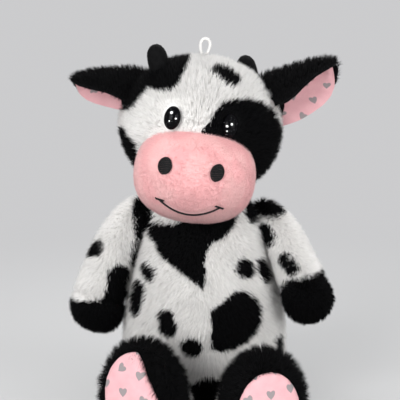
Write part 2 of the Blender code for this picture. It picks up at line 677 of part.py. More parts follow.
def build_leg(cow, hip, side, sign):
    """A stuffed leg with a round hip, a plush foot and a printed sole. It lifts on the hip."""
    swing = empty(f"leg_{side}_swing", cow, hip, (0, 0, sign * LEG_TURN[side]))
    tilt = Matrix.Rotation(-LEG_TILT[side], 3, "X")
    across, up = Vector((1, 0, 0)), Vector((0, 0, 1))
    lowest = FLOOR_CUT - HIP_RISE

    def section(share, wide, high, rise, inset):
        middle = (0, -share * LEG_LENGTH, rise * FOOT_RISE)
        half_width, half_height = wide * FOOT_HALF_WIDTH - inset, high * FOOT_HALF_HEIGHT - inset
        ring = oval(middle, half_width, half_height, ROUND_SMALL, across, up)
        turned = [tilt @ point for point in ring]
        return [Vector((point.x, point.y, max(point.z, lowest + inset))) for point in turned]

    def hip_rings(inset):
        radius = HIP_RADIUS - inset
        made = [[tilt @ Vector((0, radius, 0))]]
        for bend in HIP_BENDS:
            reach = radius * math.sin(bend)
            ring = oval((0, radius * math.cos(bend), 0), reach, reach, ROUND_SMALL, across, up)
            made.append([tilt @ point for point in ring])
        return made

    ankle = next(station for station in LEG_SHARES if station[0] == ANKLE_SHARE)
    seam_half = GAP / 2 / LEG_LENGTH

    def leg_rings(inset):
        before = [station for station in LEG_SHARES if station[0] < ANKLE_SHARE]
        end = (ANKLE_SHARE - seam_half, *ankle[1:])
        return hip_rings(inset) + [section(*station, inset) for station in [*before, end]]

    def foot_rings(inset):
        after = [station for station in LEG_SHARES if station[0] > ANKLE_SHARE]
        start = (ANKLE_SHARE + seam_half, *ankle[1:])
        return [section(*station, inset) for station in [start, *after]]

    outside, inside = leg_rings(0), leg_rings(LEG_WALL)
    piece(f"leg_skin_{side}", loft([*reversed(outside), *inside], closed=True), swing, WHITE)
    outside, inside = foot_rings(0), foot_rings(LEG_WALL)
    piece(f"foot_skin_{side}", loft([*outside, *reversed(inside)], closed=True), swing, BLACK)

    share, wide, high, rise = LEG_SHARES[-1]
    rows = []
    for shrink, bulge in SOLE_SHARES:
        cloth = PRINT / 2 if bulge else 0
        reach = share + (GAP + cloth + bulge * SOLE_BULGE) / LEG_LENGTH
        rows.append(section(reach, wide * shrink, high * shrink, rise, 0))
    tip = share + (GAP + PRINT / 2 + SOLE_BULGE) / LEG_LENGTH
    rows.append([tilt @ Vector((0, -tip * LEG_LENGTH, rise * FOOT_RISE))])
    piece(f"sole_{side}", loft(rows), swing, PINK)

    stuffing = leg_rings(LEG_WALL + GAP) + foot_rings(LEG_WALL + GAP)
    piece(f"leg_filling_{side}", loft(stuffing), swing, STUFFING)


def build_tail(cow):
    """A stuffed tail with a tuft, hinged at its root on the back."""
    deep = body_section(TAIL_RISE / BODY_HEIGHT)[1] * BODY_HALF_DEPTH
    wag = empty("tail_wag", cow, (0, deep + TAIL_RADIUS + GAP, TAIL_RISE))
    across = Vector((1, 0, 0))

    def station(distance, radius):
        """A ring across the tail, which bends down from level at its root."""
        bend = TAIL_DROOP * min(distance / (TAIL_LENGTH / 2), 1)
        reach = max(distance, 0)
        half = min(reach, TAIL_LENGTH / 2)
        arc = TAIL_LENGTH / 2 / TAIL_DROOP
        turned = half / arc
        middle = Vector((0, arc * math.sin(turned), -arc * (1 - math.cos(turned))))
        middle += (reach - half) * Vector((0, math.cos(TAIL_DROOP), -math.sin(TAIL_DROOP)))
        middle += Vector((0, min(distance, 0), 0))
        square = Vector((0, math.sin(max(bend, 0)), math.cos(max(bend, 0))))
        if radius == 0:
            return [middle]
        return oval(middle, radius, radius, ROUND_THIN, across, square)

    rings = [station(-TAIL_RADIUS, 0)]
    for bend in TAIL_ROOT_BENDS:
        rings.append(station(-TAIL_RADIUS * math.cos(bend), TAIL_RADIUS * math.sin(bend)))
    steps = 6
    end = TAIL_LENGTH - TUFT_LENGTH
    rings += [station(end * step / steps, TAIL_RADIUS) for step in range(steps + 1)]
    piece("tail", loft(rings), wag, WHITE)

    start = end + GAP
    tuft = [station(start + share * TUFT_LENGTH, wide * TUFT_RADIUS) for share, wide in TUFT_SHARES]
    tuft.append(station(start + TUFT_LENGTH, 0))
    piece("tail_tuft", loft(tuft), wag, BLACK)


cow = empty("cow")
hips = {side: hip_place(side, sign) for side, sign in (("left", -1), ("right", 1))}
build_body(cow, hips)
build_head(cow)
for side, sign in (("left", -1), ("right", 1)):
    build_arm(cow, side, sign)
    build_leg(cow, hips[side], side, sign)
build_tail(cow)
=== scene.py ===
import math

import bpy
import numpy as np
from mathutils import Euler, Matrix, Vector, bvhtree, kdtree


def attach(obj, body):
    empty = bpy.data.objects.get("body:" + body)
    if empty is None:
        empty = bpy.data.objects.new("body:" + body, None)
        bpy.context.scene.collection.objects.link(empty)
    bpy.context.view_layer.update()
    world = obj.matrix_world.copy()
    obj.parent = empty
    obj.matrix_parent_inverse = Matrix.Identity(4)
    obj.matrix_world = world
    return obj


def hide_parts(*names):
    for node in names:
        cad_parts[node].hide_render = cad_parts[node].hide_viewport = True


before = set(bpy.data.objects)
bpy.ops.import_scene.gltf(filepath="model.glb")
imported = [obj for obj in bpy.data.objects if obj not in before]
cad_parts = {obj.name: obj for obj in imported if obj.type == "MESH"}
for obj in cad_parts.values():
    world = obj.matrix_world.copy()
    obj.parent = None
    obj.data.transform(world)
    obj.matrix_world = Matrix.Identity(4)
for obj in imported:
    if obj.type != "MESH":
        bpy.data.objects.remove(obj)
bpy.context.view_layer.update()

# Camera: a long lens a little above the cow, level across, at the height of its chest.
look_at = Vector((-0.002, 0.0, 0.182))
camera_rise = math.radians(8)
bpy.ops.object.camera_add(location=look_at + 0.95 * Vector((0, -math.cos(camera_rise), math.sin(camera_rise))))
camera = bpy.context.object
camera.rotation_euler = (look_at - camera.location).to_track_quat("-Z", "Y").to_euler()
camera.data.sensor_width = 36
camera.data.lens = 100.6
bpy.context.scene.camera = camera

# Hanging loop: white cord of three twisted plies, doubled over, with both ends caught in the crown seam.
# The head is a ball that leans to one side, so what sits on it is placed in the ball's own frame.
HEAD_MIDDLE = Vector((-0.0015, -0.006, 0.245217))
HEAD_TILT = math.radians(7.5)
HEAD_TURN = Euler((0, HEAD_TILT, 0)).to_matrix()
HEAD_HALF = np.array((0.066, 0.058, 0.0575))


def on_head(x, y, z):
    """A point of the leaning head, in the row frame."""
    return HEAD_MIDDLE + HEAD_TURN @ Vector((x, y, z))


def plain(name):
    """Names the active object and puts its place into its mesh."""
    made = bpy.context.object
    made.name = made.data.name = name
    bpy.ops.object.transform_apply(location=True, rotation=True, scale=True)
    return made


def coated(piece, material, body, *nodes, fill=0):
    """Gives a piece its material, the body that it rides on and the nodes that it stands for. How firmly it is
    stuffed, if it is, is not used."""
    piece.data.materials.clear()
    piece.data.materials.append(material)
    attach(piece, body)
    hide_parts(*nodes)


def fill_in(node, inputs):
    """Gives a node's inputs their values, which are numbers, colours or other nodes' sockets."""
    for name, value in inputs.items():
        if isinstance(value, bpy.types.NodeSocket):
            node.id_data.links.new(value, node.inputs[name])
        else:
            node.inputs[name].default_value = value


def add(kind, inputs, out=0, tree=None, **settings):
    """Adds a shader node and returns one of its outputs. It goes into the tree of the sockets that it takes."""
    sockets = [value for value in inputs.values() if isinstance(value, bpy.types.NodeSocket)]
    node = (tree or sockets[0].id_data).nodes.new("ShaderNode" + kind)
    for name, value in settings.items():
        setattr(node, name, value)
    fill_in(node, inputs)
    return node.outputs[out]


def sums(operation, *values):
    return add("Math", dict(enumerate(values)), operation=operation)


def ranged(value, low, high, first=0, last=1, **settings):
    """A value brought from one range, first to last, into another, low to high."""
    return add("MapRange", {"Value": value, "From Min": first, "From Max": last, "To Min": low, "To Max": high},
               **settings)


def mixed(factor, one, other, **settings):
    return add("Mix", {"Factor": factor, "A": one, "B": other}, "Result", data_type="RGBA", **settings)


def noise(vector, scale, detail):
    return add("TexNoise", {"Vector": vector, "Scale": scale, "Detail": detail})


def ramp(factor, low, high, places=(0, 1)):
    """A colour between two, by a factor."""
    node = factor.id_data.nodes.new("ShaderNodeValToRGB")
    for element, place, colour in zip(node.color_ramp.elements, places, (low, high)):
        element.position, element.color = place, (*colour, 1)
    fill_in(node, {"Fac": factor})
    return node.outputs["Color"]


def new_material(name):
    """A new material with its node tree and its shader."""
    material = bpy.data.materials.new(name)
    material.use_nodes = True
    return material, material.node_tree, material.node_tree.nodes["Principled BSDF"]


def tubes(name, paths, radius, sides=8):
    """Round threads or plies along paths, as one mesh. A radius may change from point to point."""
    bpy.ops.object.select_all(action="DESELECT")
    curve = bpy.data.curves.new(name, "CURVE")
    curve.dimensions = "3D"
    curve.bevel_depth = 1
    curve.bevel_resolution = (sides - 4) // 2
    curve.use_fill_caps = True
    for path in paths:
        spline = curve.splines.new("POLY")
        spline.points.add(len(path) - 1)
        for index, (knot, point) in enumerate(zip(spline.points, path)):
            knot.co = (*point, 1)
            knot.radius = radius if np.isscalar(radius) else radius[index]
    made = bpy.data.objects.new(name, curve)
    bpy.context.scene.collection.objects.link(made)
    bpy.context.view_layer.objects.active = made
    made.select_set(True)
    bpy.ops.object.convert(target="MESH")
    bpy.ops.object.shade_smooth()
    return plain(name)


def twisted(path, plies, spread, pitch, start=0.0):
    """Plies wound round a path like rope."""
    path = np.array([list(point) for point in path])
    ahead = np.gradient(path, axis=0)
    ahead /= np.linalg.norm(ahead, axis=1)[:, None]
    side = np.cross(ahead, (0.13, 0.96, 0.25))
    side /= np.linalg.norm(side, axis=1)[:, None]
    over = np.cross(ahead, side)
    steps = np.linalg.norm(np.diff(path, axis=0), axis=1)
    turn = np.concatenate([[0], np.cumsum(steps)]) / pitch * 2 * math.pi + start
    made = []
    for ply in range(plies):
        angle = (turn + 2 * math.pi * ply / plies)[:, None]
        made.append(path + spread * (side * np.cos(angle) + over * np.sin(angle)))
    return made


loop_line = []
for turn in np.linspace(0, 2 * math.pi, 44)[1:-1]:
    aside = -0.005 - 0.0052 * math.sin(turn) * math.sin(turn / 2)
    loop_line.append(on_head(aside, 0, 0.0565 + 0.016 * (1 - math.cos(turn)) / 2))
loop = tubes("loop_cord", twisted(loop_line, 3, 0.00072, 0.0042), 0.00082)

cord_white, tree, shader = new_material("white_cord")
fibres = noise(add("TexCoord", {}, "Object", tree), 2600, 4)
fill_in(shader, {"Base Color": ramp(fibres, (0.5, 0.49, 0.48), (0.78, 0.77, 0.75)), "Roughness": 0.75,
                 "Normal": add("Bump", {"Strength": 0.5, "Distance": 0.0002, "Height": fibres})})
coated(loop, cord_white, "head", "hanging_loop")

# Body: a stuffed pear of long-pile plush, white with black patches, sewn from panels that meet down the
# belly. The pile is grown as tapered strands from the cloth, shorter where the cow sits on it.
BODY_RINGS = (  # height, half-width and half-depth of the cloth under the pile, and how far it leans aside
    (12, 260, 250, 0), (26, 400, 385, 5), (85, 505, 490, 10), (260, 626, 582, 18), (510, 672, 620, 20),
    (800, 668, 608, 18), (1090, 618, 556, 12), (1360, 534, 480, 6), (1575, 474, 408, 0), (1730, 435, 345, 0),
    (1850, 388, 306, 0), (1935, 285, 275, 0),
)


def tenths(numbers):
    """Sizes that are written in tenths of a millimetre, in metres."""
    return np.array(numbers) / 10000


CLOTH = {
    "quality": 6, "mass": 0.15, "tension_stiffness": 12, "compression_stiffness": 12, "shear_stiffness": 6,
    "bending_stiffness": 0.3, "use_pressure": True, "uniform_pressure_force": 4.0, "vertex_group_mass": "seams",
}
CLOTH_FRAMES = 20
SEAM_HALF = 0.0022     # half-width of a seam that holds the cloth back
DRAWN_IN = 0.4     # the cloth starts below its drawn form by this share of its swelling


def smoothed(piece):
    """Divides every face once and shades the active piece smooth."""
    smooth = piece.modifiers.new("smooth", "SUBSURF")
    smooth.levels = smooth.render_levels = 1
    bpy.ops.object.modifier_apply(modifier="smooth")
    bpy.ops.object.shade_smooth()
    return piece


def edited(operator, **settings):
    """Runs a mesh operator on the whole active piece."""
    bpy.ops.object.mode_set(mode="EDIT")
    bpy.ops.mesh.select_all(action="SELECT")
    operator(**settings)
    bpy.ops.object.mode_set(mode="OBJECT")


def cut_off(place, normal=(0, 0, 1)):
    """Cuts the active form through a point and closes it. What lies behind the cut goes."""
    edited(bpy.ops.mesh.bisect, plane_co=place, plane_no=normal, clear_inner=True, use_fill=True)


def ball_form(segments, ring_count, **place):
    """A ball, as the active object."""
    bpy.ops.object.select_all(action="DESELECT")
    bpy.ops.mesh.primitive_uv_sphere_add(segments=segments, ring_count=ring_count, radius=1, **place)
    return bpy.context.object


def stuffed_form(name, rings, location=(0, 0, 0), turn=(0, 0, 0), sides=30):
    """A closed form drawn up ring by ring along +Z, then set in its place and smoothed."""
    bpy.ops.object.select_all(action="DESELECT")
    rings = [(*ring, 0, 0)[:5] for ring in rings]
    height, half_x, half_y, middle_x, middle_y = rings[0]
    bpy.ops.mesh.primitive_circle_add(vertices=sides, radius=1, fill_type="NOTHING")
    bpy.ops.object.mode_set(mode="EDIT")
    bpy.ops.transform.resize(value=(half_x, half_y, 1))
    bpy.ops.transform.translate(value=(middle_x, middle_y, height))
    for ring in rings[1:]:
        step = (ring[3] - middle_x, ring[4] - middle_y, ring[0] - height)
        wider = (ring[1] / half_x, ring[2] / half_y, 1)
        height, half_x, half_y, middle_x, middle_y = ring
        bpy.ops.mesh.extrude_region_move(TRANSFORM_OT_translate={"value": step})
        bpy.ops.transform.resize(value=wider, center_override=(middle_x, middle_y, height))
    bpy.ops.mesh.select_all(action="SELECT")
    bpy.ops.mesh.fill_holes(sides=sides)
    bpy.ops.mesh.normals_make_consistent(inside=False)
    bpy.ops.object.mode_set(mode="OBJECT")
    made = bpy.context.object
    made.rotation_euler = turn
    made.location = location
    return smoothed(plain(name))


def unit(vectors):
    return vectors / np.maximum(np.linalg.norm(vectors, axis=-1, keepdims=True), 1e-12)


def read(parts, name, width=1, kind=float):
    """One property of all parts of a mesh."""
    values = np.empty(len(parts) * width, kind)
    parts.foreach_get(name, values)
    return values.reshape(-1, width) if width > 1 else values


def filled_out(piece, seams, swell, voxel=0.004):
    """Lets the cloth of a stuffed form swell under its filling, held back where it is sewn, so that it
    bulges between its seams. How far it moves is capped."""
    bpy.ops.object.select_all(action="DESELECT")
    piece.select_set(True)
    bpy.context.view_layer.objects.active = piece
    even = piece.modifiers.new("even", "REMESH")
    even.mode, even.voxel_size = "VOXEL", voxel
    bpy.ops.object.modifier_apply(modifier="even")
    vertices = piece.data.vertices
    drawn = read(vertices, "co", 3)
    start = drawn - read(vertices, "normal", 3) * swell * DRAWN_IN
    vertices.foreach_set("co", start.ravel())
    group = piece.vertex_groups.new(name="seams")
    group.add(np.flatnonzero(seams(drawn)).tolist(), 1.0, "REPLACE")
    cloth = piece.modifiers.new("filling", "CLOTH")
    for name, value in CLOTH.items():
        setattr(cloth.settings, name, value)
    cloth.settings.effector_weights.gravity = 0
    for number in range(1, CLOTH_FRAMES + 1):
        bpy.context.scene.frame_set(number)
    swollen = piece.evaluated_get(bpy.context.evaluated_depsgraph_get())
    moved = read(swollen.data.vertices, "co", 3) - start
    far = np.linalg.norm(moved, axis=1, keepdims=True)
    piece.modifiers.remove(cloth)
    bpy.context.scene.frame_set(1)
    vertices.foreach_set("co", (start + moved * np.minimum(1, swell / np.maximum(far, 1e-9))).ravel())
    piece.data.update()
    smoothed(piece)


def ripple(points, size, seed):
    """Soft noise between -1 and 1 that changes over about the given size."""
    rng = np.random.default_rng(seed)
    total = np.zeros(len(points))
    for _ in range(6):
        wave = unit(rng.normal(size=3)) * 2 * math.pi / (size * rng.uniform(0.8, 2.2))
        total += np.sin(points @ wave + rng.uniform(0, 2 * math.pi))
    return total / 3


EDGE_WANDER = 0.0007     # a patch's edge wanders this far


def spots(points, patches, seed):
    """1 where a point is on a dark patch, else 0. A patch is a ball, by its middle and radius, a bar with round
    ends, by its ends and radius, or an outline seen from the front and how far back it reaches, where it
    rounds off. All are in tenths of a millimetre."""
    x, y, z = points.T
    rough = EDGE_WANDER * ripple(points, 0.011, seed)
    uneven = ripple(points, 0.034, seed + 7)
    dark = np.zeros(len(points), bool)
    for *place, reach in patches:
        if len(place) > 1:
            one, other = tenths(place[:3]), tenths(place[-3:])
            share = np.clip((points - one) @ (other - one) / max(((other - one) ** 2).sum(), 1e-9), 0, 1)
            apart = np.linalg.norm(points - (one + share[:, None] * (other - one)), axis=1)
            dark |= apart + rough < tenths(reach) * (1 + (0.17 if len(place) == 3 else 0.1) * uneven)
        else:
            outline = tenths(place[0])
            inside = np.zeros(len(points), bool)
            for (x1, z1), (x2, z2) in zip(outline, np.roll(outline, -1, axis=0)):
                between = (z1 > z + rough) != (z2 > z + rough)
                if z1 != z2:
                    inside ^= between & (x + rough < (x2 - x1) * (z + rough - z1) / (z2 - z1) + x1)
            top, bottom = outline[:, 1].max(), outline[:, 1].min()
            middle, half = (top + bottom) / 2, (top - bottom) / 2
            dark |= inside & (y < tenths(reach) - 0.016 * ((z - middle) / half) ** 2 + 0.003 * uneven)
    return dark.astype(float)


ROOTED = 0.0004     # a strand starts this far under the cloth
LOWER_PART, UPPER_PART = 0.48, 0.56     # lengths of a strand's two parts, as shares of its reach
BEND_THICKNESS = 0.8
COVERED = 0.8     # how far along a strand the place is that gives it its colour
PILE_FLOOR = 0.0004     # no strand goes lower than this
MAP_HALF, MAP_BEND, MAP_TIP = 0.0011, 0.0017, 0.0034     # a strand's size on the flat map


def grow_pile(piece, count, length, lay, seed, dark=None, lift=(64, 36), thick=0.00021, stray=0.2, tuft=18,
              gather=0.32, bent=0.25, keep=None, trim=None, flatter=None, floor=-1, wrap=None):
    """Grows strands of pile on a piece: three-sided and tapered to a point, some of them bent over and the
    rest straight. Neighbours lean together in tufts. A strand takes the colour of the place that it covers."""
    mesh = piece.data
    mesh.calc_loop_triangles()
    corners = read(mesh.loop_triangles, "vertices", 3, int)
    places, facing = read(mesh.vertices, "co", 3), read(mesh.vertices, "normal", 3)
    dark = dark or (lambda points: np.zeros(len(points)))
    rng = np.random.default_rng(seed)
    a, b, c = (places[corners[:, i]] for i in range(3))
    area = np.linalg.norm(np.cross(b - a, c - a), axis=1)
    chosen = rng.choice(len(area), count, p=area / area.sum())
    u, v = rng.random((2, count))
    over = u + v > 1
    u[over], v[over] = 1 - u[over], 1 - v[over]
    share = np.stack([1 - u - v, u, v], 1)[:, :, None]
    root = (places[corners[chosen]] * share).sum(1)
    out = unit((facing[corners[chosen]] * share).sum(1))
    if keep:
        kept = keep(root, out)
        root, out = root[kept], out[kept]
    count = len(root)
    bends = int(count * bent)

    along = lay(root, out) if callable(lay) else np.tile(lay, (count, 1))
    along = unit(along - out * (along * out).sum(1, keepdims=True))
    side = np.cross(out, along)
    swirl = rng.normal(0, stray, count) + 0.25 * ripple(root, 0.024, seed + 1)
    along = along * np.cos(swirl)[:, None] + side * np.sin(swirl)[:, None]
    reach = length * rng.uniform(0.7, 1.15, count) * np.where(np.arange(count) < bends, 1, 0.94)
    if trim:
        reach *= trim(root, out)
    rise = [np.radians(angle) + rng.normal(0, 0.14, count) for angle in lift]
    if flatter:
        rise = [angle * flatter(root, out) for angle in rise]
    first, second = (out * np.sin(angle)[:, None] + along * np.cos(angle)[:, None] for angle in rise)
    foot = root - out * ROOTED
    bend = foot + first * (reach * LOWER_PART)[:, None]
    tip = bend + second * (reach * UPPER_PART)[:, None]

    leaders = rng.choice(count, max(count // tuft, 1), replace=False)
    tree = kdtree.KDTree(len(leaders))
    for index, leader in enumerate(leaders):
        tree.insert(root[leader], index)
    tree.balance()
    leader = leaders[[tree.find(point)[1] for point in root]]
    pull = (gather * rng.uniform(0.4, 1.2, count))[:, None]
    tip += (tip[leader] - tip) * pull
    bend += (bend[leader] - bend) * pull * 0.45
    cover = foot + (tip - foot) * COVERED
    missed = rng.normal(0, 0.0009, cover.shape)

    heading = unit(bend - foot)
    side = unit(np.cross(heading, out + 0.3 * rng.normal(size=out.shape)))
    back = np.cross(heading, side)
    roll = rng.uniform(0, 2 * math.pi, count)
    ring = np.stack([side * np.cos(roll + turn)[:, None] + back * np.sin(roll + turn)[:, None]
                     for turn in (0, 2 * math.pi / 3, 4 * math.pi / 3)], 1)
    ring *= (thick * rng.uniform(0.75, 1.25, count))[:, None, None]

    def joined(low, middle, top):
        """What each strand has at its foot, its bend and its tip, in one row. The bent strands come first."""
        parts = np.concatenate([low, middle, top], 1)[:bends], np.concatenate([low, top], 1)[bends:]
        return np.concatenate([part.reshape(-1, low.shape[2]) for part in parts])

    strands = joined(foot[:, None] + ring, bend[:, None] + ring * BEND_THICKNESS, tip[:, None])
    strands[:, 2] = np.maximum(strands[:, 2], floor)

    # One mesh of the cloth and its pile
    base = len(places)
    bent_first = base + 7 * np.arange(bends)[:, None, None]
    straight_first = base + 7 * bends + 4 * np.arange(count - bends)[:, None, None]
    around = ((0, 1), (1, 2), (2, 0))
    quads = (bent_first + np.array([(i, j, 3 + j, 3 + i) for i, j in around])).ravel()
    points = (bent_first + np.array([(3 + i, 3 + j, 6) for i, j in around])).ravel()
    spikes = (straight_first + np.array([(i, j, 3) for i, j in around])).ravel()
    old_loops = read(mesh.loops, "vertex_index", kind=int)
    old_starts = read(mesh.polygons, "loop_start", kind=int)
    new_loops = np.concatenate([quads, points, spikes])
    sizes = np.repeat([4, 3, 3], [3 * bends, 3 * bends, 3 * (count - bends)])
    starts = np.concatenate([old_starts, len(old_loops) + np.cumsum(sizes) - sizes])
    made = bpy.data.meshes.new(piece.name)
    made.vertices.add(base + len(strands))
    made.vertices.foreach_set("co", np.concatenate([places, strands]).ravel())
    made.loops.add(len(old_loops) + len(new_loops))
    made.loops.foreach_set("vertex_index", np.concatenate([old_loops, new_loops]))
    made.polygons.add(len(starts))
    made.polygons.foreach_set("loop_start", starts)
    made.update(calc_edges=True)
    made.shade_smooth()

    def spread_out(value):
        return np.concatenate([np.repeat(value[:bends], 7, axis=0), np.repeat(value[bends:], 4, axis=0)])

    # How far up its strand each point lies, 0 on the cloth; the pile's material darkens by it towards the root as
    # painted shade
    tips = joined(*(np.full((count, size, 1), shade) for size, shade in ((3, 0.1), (3, 0.6), (1, 1))))
    values = {
        "dark": np.concatenate([dark(places), dark(strands * 0.45 + spread_out(cover * 0.55 + missed))]),
        "tip": np.concatenate([np.zeros(base), tips.ravel()]),
        "strand": np.concatenate([np.full(base, 0.5), spread_out(rng.random(count))]),
    }
    for name, value in values.items():
        made.attributes.new(name, "FLOAT", "POINT").data.foreach_set("value", value.astype(np.float32))

    # The flat map holds each strand at the place that it covers, so that both share a colour
    (origin, up, ahead), bottom, height = wrap
    up, ahead = Vector(up), Vector(ahead)
    axes = np.array((up.cross(ahead), ahead, up)).T

    def flat(points):
        x, y, z = ((points - np.array(origin)) @ axes).T
        return np.stack([0.5 + np.arctan2(x, y) / (2 * math.pi), (z - bottom) / (height - bottom)], 1) * 0.97 + 0.015

    spread = np.stack([np.cos(roll), np.sin(roll)], 1) * MAP_HALF
    spread = np.stack([spread, spread[:, ::-1] * (1, -1), -spread], 1)
    spire = np.broadcast_to((0, MAP_TIP), (count, 1, 2))
    strand_map = spread_out(flat(cover)) + joined(spread, spread + (0, MAP_BEND), spire)
    cloth_map = flat(places)[old_loops]
    per_face = np.repeat(np.arange(len(old_starts)), np.diff(np.append(old_starts, len(old_loops))))
    widest = np.maximum.reduceat(cloth_map[:, 0], old_starts)
    wraps = (widest - np.minimum.reduceat(cloth_map[:, 0], old_starts) > 0.5)[per_face]
    cloth_map[wraps & (cloth_map[:, 0] < 0.5), 0] = 0.985
    chart = np.concatenate([cloth_map, strand_map[new_loops - base]])
    made.uv_layers.new(name="OFBake").data.foreach_set("uv", np.clip(chart, 0.001, 0.999).ravel().astype(np.float32))
    piece.data = made
    return piece


def new_group(name, takes, gives):
    """A node group of named inputs and outputs, with its entry's sockets and its exit."""
    group = bpy.data.node_groups.new(name, "ShaderNodeTree")
    for label, kind, value in takes:
        socket = group.interface.new_socket(label, in_out="INPUT", socket_type="NodeSocket" + kind)
        socket.default_value = value
    for label, kind in gives:
        group.interface.new_socket(label, in_out="OUTPUT", socket_type="NodeSocket" + kind)
    return group, group.nodes.new("NodeGroupInput").outputs, group.nodes.new("NodeGroupOutput")


def from_group(tree, group, inputs):
    """Adds a node that runs a group."""
    node = tree.nodes.new("ShaderNodeGroup")
    node.node_tree = group
    fill_in(node, inputs)
    return node.outputs


# Shades of pile: paler towards the tip and darker at the roots and on the cloth under them, as painted shade deep in
# the pile; a little different from strand to strand and over the cloth
pile_shades, given, leave = new_group(
    "pile_shades", (("Light", "Color", (0.8, 0.8, 0.8, 1)), ("Dark", "Color", (0, 0, 0, 1)),
                    ("Painted root shade", "Float", 0.8), ("Dullest", "Float", 0.92)),
    (("Colour", "Color"), ("Roughness", "Float")))
dark, tip, strand = (add("Attribute", {}, "Fac", pile_shades, attribute_name=name)
                     for name in ("dark", "tip", "strand"))
coat = mixed(ranged(dark, 0, 1, 0.35, 0.65, interpolation_type="SMOOTHSTEP"), given["Light"], given["Dark"])
cloudy = noise(add("TexCoord", {}, "Object", pile_shades), 55, 3)
# Painted shade: dimmer towards each strand's root and on the cloth under the pile
shade = ranged(tip, given["Painted root shade"], 1)
for factor in (ranged(strand, given["Dullest"], 1.05), ranged(cloudy, 0.93, 1.02, 0.3, 0.7)):
    shade = sums("MULTIPLY", shade, factor)
fill_in(leave, {"Colour": add("VectorMath", {"Vector": coat, "Scale": shade}, operation="SCALE"),
                "Roughness": ranged(strand, 0.55, 0.8)})


def pile_material(name, light, dark, painted_root_shade=0.78, sheen=0.0, specular=0.05, dullest=0.92):
    """A plush with its own pair of colours."""
    material, tree, shader = new_material(name)
    shades = from_group(tree, pile_shades, {"Light": (*light, 1), "Dark": (*dark, 1), "Painted root shade": painted_root_shade,
                                            "Dullest": dullest})
    fill_in(shader, {"Base Color": shades["Colour"], "Roughness": shades["Roughness"], "Sheen Weight": sheen,
                     "Sheen Roughness": 0.5, "Specular IOR Level": specular})
    return material


cow_print = pile_material("cow_print_plush", (0.94, 0.925, 0.905), (0.0035, 0.0035, 0.004))
black_plush = pile_material("black_plush", (0.004, 0.004, 0.0045), (0.003, 0.003, 0.0035), specular=0.06)

# Black patches of the print, and one black patch that is painted shade
BODY_PATCHES_AND_PAINTED_SHADE = (
    ([(-475, 1570), (-455, 1630), (-390, 1658), (-260, 1652), (-190, 1680), (-110, 1740), (-20, 1810), (100, 1790),
    (207, 1790), (310, 1760), (271, 1652), (190, 1568), (77, 1514), (36, 1453), (20, 1377), (28, 1277), (12, 1150),
    (-53, 1198), (-126, 1257), (-225, 1312), (-330, 1382), (-395, 1440), (-405, 1490), (-465, 1530)], 60),
    ([(70, 680), (70, 980), (105, 1010), (180, 1060), (270, 1125), (360, 1120), (450, 1060), (505, 970), (500, 870),
    (460, 780), (380, 710), (260, 670), (150, 655)], 60), (-480, -270, 1270, -425, -325, 1240, 64),
    (-575, -262, 1062, -590, -285, 975, 118), (-315, -540, 895, -295, -560, 835, 86),
    (-110, -630, 680, -70, -630, 680, 78), (335, -400, 1300, 375, -390, 1300, 86),
    # The ball at (40, -420, 200), low on the front between the legs, is painted shade: a black patch where the belly's
    # overhang throws its shadow
    (505, -250, 1275, 530, -230, 1215, 92), (645, -250, 590, 112), (470, -120, 1800, 165), (40, -420, 200, 275),
    (-500, -80, 1660, 110), (440, 440, 680, 160), (-340, 490, 980, -240, 530, 1120, 130), (180, 520, 1340, 140),
    (-520, 360, 520, 125), (500, 260, 1180, 110), (-250, 380, 1490, -170, 420, 1560, 105), (40, 620, 300, 150),
    (-600, 100, 1460, 90),
)


def belly_seam(z):
    """How far aside the seam down the belly runs at a height."""
    return 0.0012 + 0.09 * np.clip(0.115 - z, 0, 0.08)


def body_lay(root, out):
    aside = 0.4 * np.tanh((root[:, 0] - belly_seam(root[:, 2])) / 0.009) * np.exp(-((root[:, 2] - 0.08) / 0.05) ** 2)
    return np.stack([aside, np.zeros(len(root)), np.full(len(root), -1.0)], 1)


def body_seams(points):
    """Neck and seat, one seam down the belly, one down the back and one down each side."""
    x, y, z = points.T
    down = (np.abs(x - belly_seam(z)) < SEAM_HALF) | ((np.abs(y - 0.012) < SEAM_HALF) & (z < 0.16))
    return down | (z > 0.187) | (z < 0.005)


body = stuffed_form("body_plush", tenths(BODY_RINGS), sides=36)
for vertex in body.data.vertices:
    x, y, z = vertex.co
    between = math.exp(-((x - 0.004) / 0.015) ** 2 - ((z - 0.018) / 0.02) ** 2)
    vertex.co.y -= min(y, 0) * 0.33 * between
filled_out(body, body_seams, 0.0034)
grow_pile(body, 100000, 0.0096, body_lay, 11, lambda points: spots(points, BODY_PATCHES_AND_PAINTED_SHADE, 5),
          keep=lambda root, out: (out[:, 2] > -0.9) | (root[:, 2] > 0.006),
          trim=lambda root, out: np.clip(0.35 + root[:, 2] / 0.05, 0.35, 1) * np.where(root[:, 2] > 0.18, 0.7, 1),
          floor=PILE_FLOOR, wrap=(((0, 0, 0), (0, 0, 1), (0, -1, 0)), 0.0, 0.2))
coated(body, cow_print, "body", "body_skin", "body_filling", "pellet_pouch", fill=0.7)

# Legs: short stuffed legs of the same white plush, round at the hip, that turn their feet outwards.
# Each leg is one closed form, sewn to its foot at the ankle.
LEGS = {  # where the hip is, and how a leg turns that is drawn along +Z with its top along +Y
    "left": ((-0.032, -0.074421, 0.0262), (math.radians(90) - math.radians(5), 0, math.radians(-20))),
    "right": ((0.036, -0.072571, 0.0262), (math.radians(90), 0, math.radians(14))),
}
PRESSED = 0.0022     # the weight of the cow presses legs and feet flat at this height


def leg_axes(side):
    """A leg's hip, and its own ways across, towards the sole and up."""
    hip, turn = LEGS[side]
    matrix = Euler(turn).to_matrix()
    return np.array(hip), np.array([matrix @ Vector(way) for way in ((1, 0, 0), (0, 0, 1), (0, 1, 0))])


